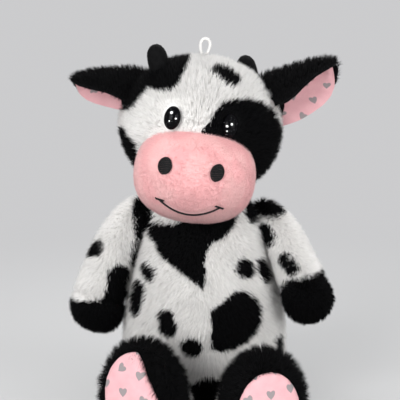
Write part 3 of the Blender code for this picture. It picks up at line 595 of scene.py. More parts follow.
HIP_BALL = [(-0.0215 * math.cos(t), 0.0215 * math.sin(t), 0.0215 * math.sin(t)) for t in np.radians((14, 34, 56, 78))]
LEG_RINGS = [*HIP_BALL, *tenths(((60, 222, 222, 0, 6), (120, 222, 228, 0, 18), (168, 225, 236, 0, 30)))]


def rest_on_floor(piece, level):
    """Presses what hangs below a level flat, as the weight of the cow does."""
    for vertex in piece.data.vertices:
        vertex.co.z = max(vertex.co.z, level)


for side in ("left", "right"):
    hip, ways = leg_axes(side)
    leg = stuffed_form(f"leg_plush_{side}", LEG_RINGS, *LEGS[side], sides=28)
    filled_out(leg, lambda points: (points - hip) @ ways[1] > 0.013, 0.0012)
    rest_on_floor(leg, PRESSED)
    grow_pile(leg, 10000, 0.0085, ways[1] - 0.4 * ways[2], 21, floor=PILE_FLOOR,
              keep=lambda root, out: (root - hip) @ ways[1] > -0.017,
              trim=lambda root, out: np.clip(0.4 + root[:, 2] / 0.02, 0.4, 1),
              wrap=((hip, ways[1], ways[2]), -0.024, 0.02))
    coated(leg, cow_print, f"leg_{side}", f"leg_skin_{side}", f"leg_filling_{side}", fill=0.7)

# Feet: big round feet of shaggy black plush, gathered round the sole.
FOOT_RINGS = (
    (174, 225, 236, 0, 30), (230, 256, 294, 0, 77), (299, 290, 352, 0, 124), (391, 307, 386, 0, 148),
    (483, 301, 378, 0, 148), (540, 272, 350, 0, 148), (568, 240, 320, 0, 148),
)
FOOT_CROWN = {"left": 0.005, "right": 0.002}
FOOT_MIDDLE = 0.0148     # the foot's middle is this far above the leg's
SOLE_HALF_WIDTH, SOLE_HALF_HEIGHT, SOLE_BULGE, SOLE_AHEAD = 0.0248, 0.0324, 0.0062, 0.0572
SOLE_RISE = {"left": 0.0205, "right": 0.011}


def sole_width(side, aside, up):
    """Half-width of the sole on one side of its middle, at a share of its half-height. The pile covers the
    upper right of the left one."""
    covered = np.where((side == "left") & (aside > 0), 0.67 - 0.31 * np.tanh((up - 0.1) / 0.45), 1)
    return SOLE_HALF_WIDTH * covered


def round_sole(root, side):
    """How far along the foot a point is, the way from the sole's middle, and its share of the sole's oval."""
    hip, ways = leg_axes(side)
    aside, along, up = ((root - hip) @ ways.T).T
    raised = (up - SOLE_RISE[side]) / SOLE_HALF_HEIGHT
    share = np.hypot(aside / sole_width(side, aside, raised), raised)
    return along, unit(np.outer(aside, ways[0]) + np.outer(up - FOOT_MIDDLE, ways[2])), share


def overhangs(root, side):
    """1 where the left foot's pile falls over the upper right of its sole."""
    along, away, share = round_sole(root, side)
    _, ways = leg_axes(side)
    return (along > 0.047) & (share > 0.9) & (away @ (ways[0] + ways[2]) > 0.85) & (side == "left")


def foot_lay(root, side):
    """Outwards round the sole, and back and down on the rest of the foot."""
    along, away, _ = round_sole(root, side)
    front = (along > 0.05)[:, None]
    over = overhangs(root, side)[:, None]
    outward = np.where(over, -1.0, np.where(front, 0.9, 0.3))
    ahead = np.where(over, 0.75, np.where(front, 0.5, -0.75))
    return away * outward + leg_axes(side)[1][1] * ahead - np.array((0, 0, 0.35))


def foot_keep(root, side):
    """No pile inside the leg and under the sole."""
    along, _, share = round_sole(root, side)
    return (along > 0.019) & ((along < 0.048) | (share > 0.93))


for side in ("left", "right"):
    hip, ways = leg_axes(side)
    foot = stuffed_form(f"foot_plush_{side}", tenths(FOOT_RINGS), *LEGS[side], sides=30)
    for vertex in foot.data.vertices:
        above = (np.array(vertex.co) - hip) @ ways[2] / 0.05
        vertex.co += Vector(ways[2] * max(above, 0) * FOOT_CROWN[side])
    filled_out(foot, lambda points: np.abs((points - hip) @ ways[1] - 0.0365) > 0.0175, 0.0024)
    rest_on_floor(foot, PRESSED)
    grow_pile(foot, 24000, 0.0104, lambda root, out: foot_lay(root, side), 31, lift=(76, 52), stray=0.5, tuft=26,
              gather=0.5, floor=PILE_FLOOR, keep=lambda root, out: foot_keep(root, side),
              trim=lambda root, out: np.clip(0.35 + root[:, 2] / 0.02, 0.35, 1) * (1 + 0.15 * overhangs(root, side)),
              flatter=lambda root, out: 1 - 0.55 * overhangs(root, side),
              wrap=((hip + ways[2] * FOOT_MIDDLE, ways[1], ways[2]), 0.015, 0.06))
    coated(foot, black_plush, f"leg_{side}", f"foot_skin_{side}", fill=0.75)

# Soles: ovals of printed pink cotton with small grey hearts, stuffed from behind and puckered at the seam.
# The hearts are a staggered row pattern drawn on the cloth's own map, in metres.
hearts, given, leave = new_group(
    "heart_print", (("Vector", "Vector", (0, 0, 0)), ("Pitch", "Float", 0.018), ("Size", "Float", 0.0036)),
    (("Heart", "Float"),))
split = add("SeparateXYZ", {"Vector": given["Vector"]}).node.outputs
row = sums("DIVIDE", split["Y"], given["Pitch"])
row_number = sums("FLOOR", row)
shift = sums("MULTIPLY", sums("MODULO", sums("ABSOLUTE", row_number), 2.0), 0.5)
column = sums("ADD", sums("DIVIDE", split["X"], given["Pitch"]), shift)
cell = add("CombineXYZ", {"X": sums("FLOOR", column), "Y": row_number})
chance = add("TexWhiteNoise", {"Vector": cell}, noise_dimensions="3D")
cell_size = sums("DIVIDE", given["Pitch"], given["Size"])
local_x, local_y = (sums("MULTIPLY", sums("SUBTRACT", sums("FRACT", place), 0.5), cell_size)
                    for place in (column, row))
tilt = sums("MULTIPLY", sums("SUBTRACT", chance, 0.5), 1.5)
cosine, sine = sums("COSINE", tilt), sums("SINE", tilt)
heart_x = sums("SUBTRACT", sums("MULTIPLY", local_x, cosine), sums("MULTIPLY", local_y, sine))
heart_y = sums("ADD", sums("MULTIPLY", local_x, sine), sums("MULTIPLY", local_y, cosine))
dip = sums("MULTIPLY", sums("POWER", sums("ABSOLUTE", heart_x), 0.66), 0.85)
lobes = sums("SUBTRACT", sums("MULTIPLY", heart_y, 1.15), dip)
inside = sums("ADD", sums("MULTIPLY", heart_x, heart_x), sums("MULTIPLY", lobes, lobes))
fill_in(leave, {"Heart": ranged(inside, 1, 0, 0.92, 1.08)})


def print_material(name, shift, turn, pitch, size):
    """Pink cotton with grey hearts, a plain weave and a little unevenness."""
    material, tree, shader = new_material(name)
    drawn = add("UVMap", {}, 0, tree, uv_map="print")
    lie = add("Mapping", {"Vector": drawn, "Location": (*shift, 0), "Rotation": (0, 0, turn)})
    heart = from_group(tree, hearts, {"Vector": lie, "Pitch": pitch, "Size": size})["Heart"]
    weave = sums("MULTIPLY", *[add("TexWave", {"Vector": drawn, "Scale": 620, "Distortion": 0.6}, "Fac",
                                   bands_direction=way) for way in ("X", "Y")])
    pink = ramp(noise(drawn, 110, 4), (0.68, 0.36, 0.385), (0.745, 0.42, 0.445), (0.3, 0.7))
    woven = mixed(0.12, mixed(heart, pink, (0.27, 0.235, 0.24, 1)), weave, blend_type="MULTIPLY")
    bump = add("Bump", {"Strength": 0.35, "Distance": 0.0001, "Height": weave})
    fill_in(shader, {"Base Color": woven, "Normal": bump, "Roughness": 0.85, "Sheen Weight": 0.15})
    return material


def print_map(piece, origin, across, up):
    """Lays the print's map on a piece, seen square on."""
    flat = piece.data.uv_layers.new(name="print")
    for loop in piece.data.loops:
        off = piece.data.vertices[loop.vertex_index].co - Vector(origin)
        flat.data[loop.index].uv = (off.dot(Vector(across)), off.dot(Vector(up)))


for side, shift, turn in (("left", (0.001, 0.004), 0.3), ("right", (0.006, -0.003), -0.2)):
    hip, ways = leg_axes(side)
    sole = ball_form(72, 36)
    sole.scale = (SOLE_HALF_WIDTH, SOLE_HALF_HEIGHT, SOLE_BULGE)
    plain(f"sole_cotton_{side}")
    cut_off((0, 0, 0.0004))
    for vertex in sole.data.vertices:
        edge = math.hypot(vertex.co.x / SOLE_HALF_WIDTH, vertex.co.y / SOLE_HALF_HEIGHT)
        vertex.co.x *= float(sole_width(side, vertex.co.x, vertex.co.y / SOLE_HALF_HEIGHT)) / SOLE_HALF_WIDTH
        angle = math.atan2(vertex.co.y, vertex.co.x)
        pucker = math.sin(19 * angle) + 0.6 * math.sin(31 * angle + 1)
        vertex.co.z += 0.00035 * pucker * max(edge - 0.72, 0) / 0.28
    sole.location = Vector(hip + ways[1] * SOLE_AHEAD + ways[2] * SOLE_RISE[side])
    sole.rotation_euler = LEGS[side][1]
    plain(f"sole_cotton_{side}")
    rest_on_floor(sole, 0.0012)
    bpy.ops.object.shade_smooth()
    print_map(sole, hip + ways[2] * FOOT_MIDDLE, ways[0], ways[2])
    cotton = print_material(f"heart_cotton_sole_{side}", shift, turn, 0.0165, 0.0034)
    coated(sole, cotton, f"leg_{side}", f"sole_{side}", fill=0.8)

# Arms: long stuffed arms that hang at the sides. Each sleeve is cow-print plush, sewn flat to the body
# at the shoulder, and ends in a black paw.
ARM_TOP, ARM_OFFSET, ARM_RADIUS = 0.0259, 0.0125, 0.0158
ARM_CLOTH = 0.0018     # the cloth lies this far under the pressed pile
ARM_OUT = math.radians(14)
ARM_SHARES = (
    (0.018, 0.44, 0.58), (0.06, 0.68, 0.66), (0.12, 0.84, 0.84), (0.2, 0.96, 1.02), (0.32, 1.02, 1.22),
    (0.46, 1.02, 1.46), (0.58, 1.05, 1.58), (0.7, 1.12, 1.66), (0.79, 1.25, 1.66), (0.87, 1.26, 1.62),
    (0.94, 1, 1.54), (0.982, 0.56, 1.5),
)
ARMS = {
    "left": (-1, (-0.049571, 0, 0.157213), math.radians(9), 0.0, 0.0023, 0.0, 0.1187),
    "right": (1, (0.049571, 0, 0.157213), math.radians(28), 0.005, 0.0, 0.0062, 0.1137),
}
RIGHT_PAW = [(300, 600), (640, 1120), (690, 1195), (895, 1245), (1015, 1275), (1250, 1270), (1250, 600)], 500
LEFT_PAW = [(-1300, 600), (-1300, 1005), (-860, 1005), (-800, 1060), (-300, 1060), (-300, 600)], 600
PAWS = {"left": (LEFT_PAW,), "right": (RIGHT_PAW,)}
CUFFS = {"left": 0.79, "right": 0.72}
SLEEVE_PATCHES = {
    "left": (LEFT_PAW, (-990, -120, 1430, -915, -210, 1445, 86), (-700, -205, 1190, -725, -245, 1030, 112),
             (-500, -80, 1850, -505, -100, 1570, 100), (-575, -120, 1460, -580, -130, 1320, 58),
             (-800, 180, 1560, 110), (-740, 120, 1180, 90)),
    "right": (RIGHT_PAW, (460, -30, 1835, 595, -30, 1745, 130), (520, -130, 1560, 575, -150, 1500, 82),
             (690, -290, 1345, 740, -350, 1275, 74), (780, 100, 1520, 120), (660, 140, 1240, 95)),
}


def arm_form(name, side, first, last):
    """A length of the stuffed arm, flat on the side of the body, between two shares of its height."""
    sign, shoulder, lean, splay, bulge, tuck, length = ARMS[side]
    rings = []
    stations = [station for station in ARM_SHARES if first < station[0] < last]
    ends = [[np.interp(share, *zip(*[(station[0], station[column]) for station in ARM_SHARES])) for column in range(3)]
            for share in (first, last)]
    for share, radius, offset in [ends[0], *stations, ends[1]]:
        if share >= ARM_SHARES[0][0]:
            more = bulge * min(max((share - 0.05) / 0.3, 0), 1) * min((1.05 - share) / 0.12, 1)
            reach = radius * ARM_RADIUS - ARM_CLOTH + more
            rings.append((ARM_TOP - share * length, reach, reach,
                          sign * (offset * ARM_OFFSET + more - tuck * max(1 - share / 0.25, 0)) + splay * share**2, 0))
    form = stuffed_form(name, rings, sides=26)
    for vertex in form.data.vertices:
        if vertex.co.x * sign < ARM_CLOTH:
            vertex.co.x = sign * ARM_CLOTH
    form.location = shoulder
    form.rotation_euler = (-lean, -sign * ARM_OUT, 0)
    return plain(name)


for side in ("left", "right"):
    sign, shoulder, lean, *_ = ARMS[side]
    matrix = Euler((-lean, -sign * ARM_OUT, 0)).to_matrix()
    outward, ahead, down = (np.array(matrix @ Vector(way)) for way in ((sign, 0, 0), (0, -1, 0), (0, 0, -1)))
    arm_wrap = ((np.array(shoulder) + outward * 0.016, down, ahead), -0.026, 0.096)

    def out_from_body(points):
        return (points - np.array(shoulder)) @ outward

    sleeve = arm_form(f"sleeve_plush_{side}", side, 0.018, CUFFS[side])
    filled_out(sleeve, lambda points: out_from_body(points) < 0.004, 0.001)
    grow_pile(sleeve, 26000, 0.0092, lambda root, out: np.tile(down, (len(root), 1)), 41,
              lambda points: spots(points, SLEEVE_PATCHES[side], 7),
              keep=lambda root, out: out_from_body(root) > 0.0025, wrap=arm_wrap)
    coated(sleeve, cow_print, f"arm_{side}", f"sleeve_{side}", f"arm_filling_{side}", fill=0.7)
    paw = arm_form(f"paw_plush_{side}", side, CUFFS[side] - 0.02, 0.982)
    filled_out(paw, lambda points: out_from_body(points) < 0.004, 0.001)
    grow_pile(paw, 15000, 0.008, lambda root, out: np.tile(down, (len(root), 1)) + out * 0.2, 43,
              lambda points: spots(points, PAWS[side], 8), lift=(72, 42), stray=0.4, tuft=24, gather=0.5,
              keep=lambda root, out: out_from_body(root) > 0.0025, wrap=arm_wrap)
    coated(paw, cow_print, f"arm_{side}", f"paw_{side}", fill=0.75)

# Head: a stuffed ball of the same cow-print plush. Its pile is brushed up and back from the muzzle, and is
# clipped short round the eyes.
HEAD_PATCHES = (
    ([(-470, 2805), (-420, 2790), (-340, 2775), (-250, 2785), (-180, 2855), (-135, 2940), (-100, 3040), (-200, 3150),
    (-480, 3150)], 100), ([(-800, 2600), (-722, 2609), (-658, 2587), (-616, 2605), (-564, 2650), (-510, 2712),
    (-450, 2790), (-380, 2850), (-380, 3050), (-800, 3150)], 220), ([(470, 2880), (550, 2750), (610, 2680),
    (670, 2570), (800, 2570), (800, 3050), (500, 3050)], 220), (165, -350, 2905, 222, -385, 2855, 92), ([(-8, 2453),
    (68, 2539), (96, 2607), (162, 2683), (257, 2706), (374, 2715), (495, 2683), (603, 2588), (674, 2450),
    (750, 2250), (700, 2050), (500, 1960), (200, 2050), (0, 2300)], 180), ([(-850, 2470), (-665, 2455), (-605, 2385),
    (-555, 2320), (-535, 2225), (-480, 2050), (-480, 1900), (-850, 1900)], 260),
    (150, 520, 2620, 300, 440, 2480, 165), (-380, 360, 2660, -260, 400, 2760, 125),
    (-340, 440, 2300, -180, 500, 2240, 125), (500, 300, 2180, 130), (680, 80, 2550, 150),
)
MUZZLE_MIDDLE = on_head(0, -0.04, -0.0362)
MUZZLE_HALF = np.array((0.0495, 0.037, 0.0395))
EYES = {"left": (-0.0232, 0.0074), "right": (0.0232, 0.0074)}
head_axes = np.array(HEAD_TURN)


def in_head(points, middle=HEAD_MIDDLE):
    """Points as the leaning head sees them, from its middle or another."""
    return (points - np.array(middle)) @ head_axes


def eye_spot(side, extra=0.0):
    """The middle of an eye on the head's surface, and the way that it faces."""
    aside, up = EYES[side]
    ahead = -HEAD_HALF[1] * math.sqrt(1 - (aside / HEAD_HALF[0]) ** 2 - (up / HEAD_HALF[2]) ** 2)
    facing = Vector((aside / HEAD_HALF[0] ** 2, ahead / HEAD_HALF[1] ** 2, up / HEAD_HALF[2] ** 2)).normalized()
    return on_head(aside, ahead, up) + HEAD_TURN @ facing * extra, HEAD_TURN @ facing


def eye_distance(points):
    """Distance from the rim of the nearer eye, negative inside it."""
    local = in_head(points)
    near = [np.hypot((local[:, 0] - aside) / (0.0075 * size), (local[:, 2] - up) / (0.0102 * size))
            for (aside, up), size in zip(EYES.values(), (1, 0.84))]
    return np.where(local[:, 1] < 0, (np.minimum(*near) - 1) * 0.0085, 1)


def muzzle_share(points):
    """1 on the muzzle's surface, less inside it."""
    return np.linalg.norm(in_head(points, MUZZLE_MIDDLE) / MUZZLE_HALF, axis=1)


EARS = {
    "left": ((-0.060654, -0.002334, 0.277467), (-0.989508, -0.050129, 0.135504), (-0.081227, 0.968641, -0.234813),
             (-0.119483, -0.243356, -0.96255), 0.0467),
    "right": ((0.061294, -0.002336, 0.2685), (0.890224, 0.106389, 0.442924), (-0.176304, -0.816092, 0.550372),
              (0.420021, -0.568045, -0.707748), 0.0585),
}

LINING_ENDS = {  # share of the way to the rim; shares of the length where the lining begins and ends
    "left": np.array(((-1, -0.05, 0.97), (0, -0.24, 0.97), (0.3, 0.02, 0.97), (0.5, 0.14, 0.97), (0.85, 0.13, 0.97),
                      (1, 0.05, 0.97))),
    "right": np.array(((-1, -0.09, 0.945), (-0.86, -0.04, 0.925), (-0.78, 0.08, 0.9), (-0.6, 0.13, 0.855),
                       (-0.4, 0.14, 0.82), (-0.2, 0.15, 0.8), (0, 0.15, 0.79), (1, 0.16, 0.76))),
}
CUP = 1.7     # the power that the fold of a leaf grows with towards its rim
LEAVES = {  # share of the length; half-width and fold on the far and on the near side, mm; rise of the ridge, mm
    "left": np.array((
        (-0.08, 17, 28.5, 17, 28, 13), (0.05, 18, 28.5, 18, 27.5, 12.6), (0.2, 19, 27, 19, 24.5, 11.4),
        (0.4, 19.5, 23.5, 19.5, 19.8, 9.2), (0.6, 18.8, 20, 18.8, 16.6, 7), (0.78, 16.5, 15.5, 16.5, 12.4, 4.4),
        (0.9, 12.8, 10.5, 12.8, 8.4, 1.8), (0.96, 8.8, 6, 8.8, 5, 0), (0.99, 4.6, 2.6, 4.6, 2.2, -1.2),
        (1, 0.8, 0.3, 0.8, 0.3, -1.6),
    )),
    "right": np.array((
        (-0.08, 21, 42, 19, 38, 22), (0.05, 22, 42, 20, 38, 21), (0.2, 22, 38, 21, 36.5, 19),
        (0.4, 21.5, 30.5, 21, 33, 16.4), (0.6, 20, 23.5, 20, 28.5, 13.4), (0.78, 17, 18, 17.5, 23, 10.5),
        (0.9, 13.4, 12, 13.9, 16, 7), (0.96, 9.6, 7, 10, 9.5, 4.2), (0.99, 5.2, 3, 5.4, 4.2, 2.4),
        (1, 0.8, 0.3, 0.8, 0.3, 2.4),
    )),
}


def leaf_shape(side, share, aside):
    """Half-width and fold of an ear on one side of its ridge, and the rise of the ridge, in metres."""
    shape = [np.interp(share, LEAVES[side][:, 0], LEAVES[side][:, column]) / 1000 for column in range(1, 6)]
    return np.where(aside > 0, shape[0], shape[2]), np.where(aside > 0, shape[1], shape[3]), shape[4]


def head_seams(points):
    """Round the muzzle, round the neck, and one seam from the crown down the back."""
    aside, ahead, _ = in_head(points).T
    centre = (np.abs(aside) < SEAM_HALF) & (ahead > -0.022)
    return centre | (np.abs(muzzle_share(points) - 1) < 0.05) | (points[:, 2] < 0.199)


def in_ears(root, side):
    """How deep a point lies over the cloth of an ear's leaf, and whether it is between its rims."""
    origin, along, across, opening, length = EARS[side]
    ahead, over, deep = ((root - np.array(origin)) @ np.array((along, across, opening)).T).T
    half, fold, rise = leaf_shape(side, np.maximum(ahead / length, 0), over)
    spread = np.abs(over) / half
    return deep - fold * spread**CUP + rise, (spread < 1) & (ahead > -0.022)


def head_keep(root, out):
    """No pile under the muzzle, the eyes and the neck, and none where the cloth lies against an ear."""
    clear = (muzzle_share(root) > 0.97) & (eye_distance(root) > 0.0004) & (root[:, 2] > 0.196)
    for side in EARS:
        deep, between = in_ears(root, side)
        clear &= ~between | (deep < -0.003) | (deep > 0.0065)
    return clear


def head_trim(root, out):
    """Short pile round the eyes, at the muzzle's rim and where an ear's fold covers the head."""
    share = np.clip(0.3 + eye_distance(root) / 0.012, 0.3, 1)
    share *= np.clip(0.45 + (muzzle_share(root) - 0.97) / 0.25, 0.45, 1)
    for side in EARS:
        deep, between = in_ears(root, side)
        share[between & (deep > 0) & (deep < 0.03)] *= 0.5
    return share


def head_lay(root, out):
    away = root - np.array(MUZZLE_MIDDLE) - (0, -0.01, 0)
    behind = np.clip(root[:, 1] / 0.04, 0, 1)[:, None]
    return unit(away) * (1 - behind) + np.array((0, 0.2, -1)) * behind


ball_form(64, 40, location=HEAD_MIDDLE, rotation=(0, HEAD_TILT, 0), scale=HEAD_HALF - 0.002)
head = plain("head_plush")
cut_off((0, 0, 0.1945))
filled_out(head, head_seams, 0.0018)
grow_pile(head, 84000, 0.009, head_lay, 51, lambda points: spots(points, HEAD_PATCHES, 9), lift=(69, 46),
          stray=0.28, gather=0.42, tuft=22, keep=head_keep, trim=head_trim,
          wrap=((HEAD_MIDDLE, head_axes[:, 2], -head_axes[:, 1]), -0.058, 0.058))
coated(head, cow_print, "head", "head_skin", "head_filling", "eye_washer_left", "eye_washer_right", fill=0.8)

# Muzzle: a soft pink cap of short-pile plush, stuffed and sewn over the lower half of the face.
muzzle = ball_form(72, 44, rotation=(math.radians(90), 0, 0))
plain("muzzle_plush")
cut_off((0, 0.42, 0), (0, -1, 0))
for vertex in muzzle.data.vertices:
    point = vertex.co.copy()
    lower = max(-point.z, 0) ** 1.5
    point.x *= 1 + 0.035 * lower
    width, height = point.x, point.z
    corners = 4 * (width * height) ** 2
    point.x *= 1 + 0.05 * corners
    point.z *= 1 + 0.05 * corners
    scaled = Vector([coordinate * (half - 0.0008) for coordinate, half in zip(point, MUZZLE_HALF)])
    vertex.co = MUZZLE_MIDDLE + HEAD_TURN @ scaled
# The chest keeps the muzzle's lower back clear: at each height, how far it reaches
CHEST = ((0, 0.0375), (0.172, 0.0375), (0.184, 0.0335), (0.194, 0.03), (0.23, 0.03))
for vertex in muzzle.data.vertices:
    room = np.interp(vertex.co.z, *zip(*CHEST)) + 0.0075
    reach = math.hypot(vertex.co.x, vertex.co.y)
    if reach < room and vertex.co.z < 0.2:
        vertex.co.y = -math.sqrt(max(room**2 - vertex.co.x**2, 1e-6))


def muzzle_seams(points):
    """Its rim, and one seam down each side of the front."""
    aside, ahead, _ = in_head(points, MUZZLE_MIDDLE).T
    return (ahead > 0.012) | (np.abs(np.abs(aside + 0.001) - 0.0335) < 0.0018)


filled_out(muzzle, muzzle_seams, 0.0016, voxel=0.0034)
muzzle_cloth = bvhtree.BVHTree.FromObject(muzzle, bpy.context.evaluated_depsgraph_get())
SMILE_HALF, SMILE_ASIDE, SMILE_UP, SMILE_DIP = 0.0228, -0.0014, -0.0194, 0.0082
NOSTRILS = {"left": (-0.0236, 0.007), "right": (0.0164, 0.007)}


def muzzle_point(aside, up, extra=0.0):
    """A point over the cloth on the front of the muzzle, from the muzzle's middle."""
    before = MUZZLE_MIDDLE + HEAD_TURN @ Vector((aside, -0.1, up))
    place, facing, _, _ = muzzle_cloth.ray_cast(before, HEAD_TURN @ Vector((0, 1, 0)))
    return place + facing * (extra + 0.0006)


def clear_of_stitches(root, out):
    local = in_head(root, MUZZLE_MIDDLE)
    clear = local[:, 1] < 0.012
    for aside, up in NOSTRILS.values():
        clear &= np.hypot((local[:, 0] - aside) / 0.0053, (local[:, 2] - up) / 0.0066) > 1.02
    share = (local[:, 0] - SMILE_ASIDE) / SMILE_HALF
    line = SMILE_UP - SMILE_DIP * (1 - share**2)
    clear &= (np.abs(share) > 1.02) | (np.abs(local[:, 2] - line) > 0.0009)
    return clear


pink_plush = pile_material("pink_short_plush", (0.92, 0.565, 0.56), (0.905, 0.51, 0.515), 0.86, 0.06, 0.08, 0.86)
grow_pile(muzzle, 84000, 0.0026, lambda root, out: np.tile((0, 0, -1.0), (len(root), 1)) + 0.6 * out, 61,
          lambda points: 0.5 + 0.5 * ripple(points, 0.014, 3), lift=(76, 62), thick=0.00013, stray=0.5, tuft=10,
          gather=0.16, bent=0, keep=clear_of_stitches,
          wrap=((MUZZLE_MIDDLE, head_axes[:, 2], -head_axes[:, 1]), -0.041, 0.041))
coated(muzzle, pink_plush, "head", "muzzle_skin", "muzzle_filling", fill=0.8)

# Nostrils: ovals of black satin stitch, laid thread by thread across the oval over a little padding.
thread_black, tree, shader = new_material("black_embroidery_thread")
lustre = noise(add("TexCoord", {}, "Object", tree), 1500, 3)
fill_in(shader, {"Base Color": ramp(lustre, (0.004, 0.004, 0.004), (0.012, 0.011, 0.012)),
                 "Specular IOR Level": 0.16, "Roughness": ranged(lustre, 0.38, 0.6)})
for side, (aside, up) in NOSTRILS.items():
    threads = []
    for row in np.linspace(-0.95, 0.95, 27):
        half = 0.00525 * math.sqrt(1 - row**2)
        line = []
        for share in np.linspace(-1, 1, 9):
            swell = 0.0011 * (1 - 0.7 * share**4) * (1 - 0.5 * row**4) + 0.0006
            line.append(muzzle_point(aside + half * share, up + 0.0066 * row + 0.0004 * share, swell))
        threads.append(line)
    nostril = tubes(f"nostril_stitches_{side}", threads, 0.00029, 6)
    coated(nostril, thread_black, "head", f"nostril_{side}")

# Smile: one line of two-ply black thread sewn along the lower muzzle, with a short stitch across each end.
smile_line = [muzzle_point(SMILE_HALF * share + SMILE_ASIDE, SMILE_UP - SMILE_DIP * (1 - share**2), 0.0018)
              for share in np.linspace(-1, 1, 90)]
smile = tubes("smile_thread", twisted(smile_line, 2, 0.0004, 0.003), 0.0005, 6)
coated(smile, thread_black, "head", "smile")
for side, sign, slope in (("left", -1, -0.14), ("right", 1, -0.26)):
    line = [muzzle_point(sign * SMILE_HALF + SMILE_ASIDE + share, -0.019 + slope * share, 0.0019)
            for share in np.linspace(-0.0032, 0.0032, 20)]
    tick = tubes(f"smile_tick_thread_{side}", twisted(line, 2, 0.0004, 0.003), 0.0005, 6)
    coated(tick, thread_black, "head", f"smile_tick_{side}")

# Eyes: oval domes of glossy black plastic with glitter cast in, and small white dots painted on as highlights where
# the lamps' reflections show. Each sits in the clipped pile on a stem, which its washer locks inside the head.
# Painted highlights: white dots on each eye, by their middle on the dome's map and their radius, set where the lamps
# are reflected
PAINTED_EYE_HIGHLIGHTS = {
    "left": (((0.0002, 0.0038), 0.00125), ((0.0044, -0.0002), 0.00075), ((-0.0002, -0.003), 0.0006)),
    "right": (((-0.004, -0.001), 0.00095), ((-0.0006, 0.001), 0.001), ((-0.0034, -0.0048), 0.0006)),
}
for side in ("left", "right"):
    middle, facing = eye_spot(side, {"left": 0.001, "right": -0.002}[side])
    turn = facing.to_track_quat("Z", "Y") @ Euler((0, 0, math.radians(-9))).to_quaternion()
    eye = ball_form(64, 40)
    eye.scale = (0.00675, 0.0095, 0.0052)
    plain(f"eye_dome_{side}")
    cut_off((0, 0, -0.0012))
    eye.rotation_euler = turn.to_euler()
    eye.location = middle
    plain(f"eye_dome_{side}")
    bpy.ops.object.shade_smooth()
    axes = turn.to_matrix()
    print_map(eye, middle, axes @ Vector((1, 0, 0)), axes @ Vector((0, 1, 0)))

    gloss, tree, shader = new_material(f"eye_plastic_{side}")
    drawn = add("UVMap", {}, 0, tree, uv_map="print")
    # White dots painted over the dome as highlights
    painted_highlights = 0.0
    for spot, radius in PAINTED_EYE_HIGHLIGHTS[side]:
        far = add("VectorMath", {0: drawn, 1: (*spot, 0)}, "Value", operation="DISTANCE")
        painted_highlights = sums("MAXIMUM", painted_highlights, ranged(far, 0, 1, radius, radius * 0.8))
    flakes = add("TexVoronoi", {"Vector": drawn, "Scale": 1500}).node.outputs
    chosen = add("SeparateColor", {"Color": flakes["Color"]}).node.outputs
    speck = sums("MULTIPLY", sums("GREATER_THAN", chosen["Red"], 0.9), sums("LESS_THAN", flakes["Distance"], 0.26))
    glitter = sums("MULTIPLY", speck, sums("MULTIPLY", chosen["Green"], 0.8))
    glint = mixed(glitter, (0.002, 0.002, 0.0025, 1), (0.55, 0.56, 0.6, 1))
    fill_in(shader, {"Base Color": mixed(painted_highlights, glint, (0.93, 0.93, 0.93, 1)), "Roughness": 0.12,
                     "Metallic": sums("MULTIPLY", glitter, 0.6), "Specular IOR Level": 0.04, "Coat Weight": 0.02,
                     "Coat Roughness": 0.04})
    coated(eye, gloss, "head", f"eye_{side}")

# Horns: small stuffed fingers of black velour standing on the crown.
HORNS = {"left": ((-0.6, -0.24), math.radians(-20), 0.0), "right": ((0.53, 0.3), math.radians(-20), math.radians(26))}
velour = pile_material("black_velour", (0.005, 0.005, 0.0055), (0.003, 0.003, 0.0035), 0.7, 0.03, 0.06)
for side, ((aside, back), lean, tip_back) in HORNS.items():
    up = math.sqrt(1 - aside**2 - back**2)
    root = HEAD_MIDDLE + HEAD_TURN @ Vector((aside * HEAD_HALF[0], back * HEAD_HALF[1], up * HEAD_HALF[2]))
    turn = HEAD_TURN @ Matrix.Rotation(lean, 3, "Y") @ Matrix.Rotation(-tip_back, 3, "X")
    round_top = [(0.0085 + 0.0113 * math.sin(t), 0.0083 * math.cos(t), 0.0083 * math.cos(t))
                 for t in np.radians((16, 32, 48, 64, 80))]
    rings = [(-0.005, 0.0086, 0.0086), (0, 0.0085, 0.0085), (0.0045, 0.0084, 0.0084), (0.0085, 0.0083, 0.0083)]
    horn = stuffed_form(f"horn_velour_{side}", rings + round_top, root, turn.to_euler(), sides=24)
    axis = np.array(turn @ Vector((0, 0, 1)))
    grow_pile(horn, 8000, 0.0013, -axis, 71,
              lambda points: 0.5 + 0.5 * ripple(points, 0.004, 2), lift=(60, 40), thick=0.0001, stray=0.4, bent=0,
              wrap=((root, axis, np.array(turn @ Vector((0, -1, 0)))), -0.006, 0.02))
    coated(horn, velour, "head", f"horn_skin_{side}", f"horn_filling_{side}", fill=0.8)

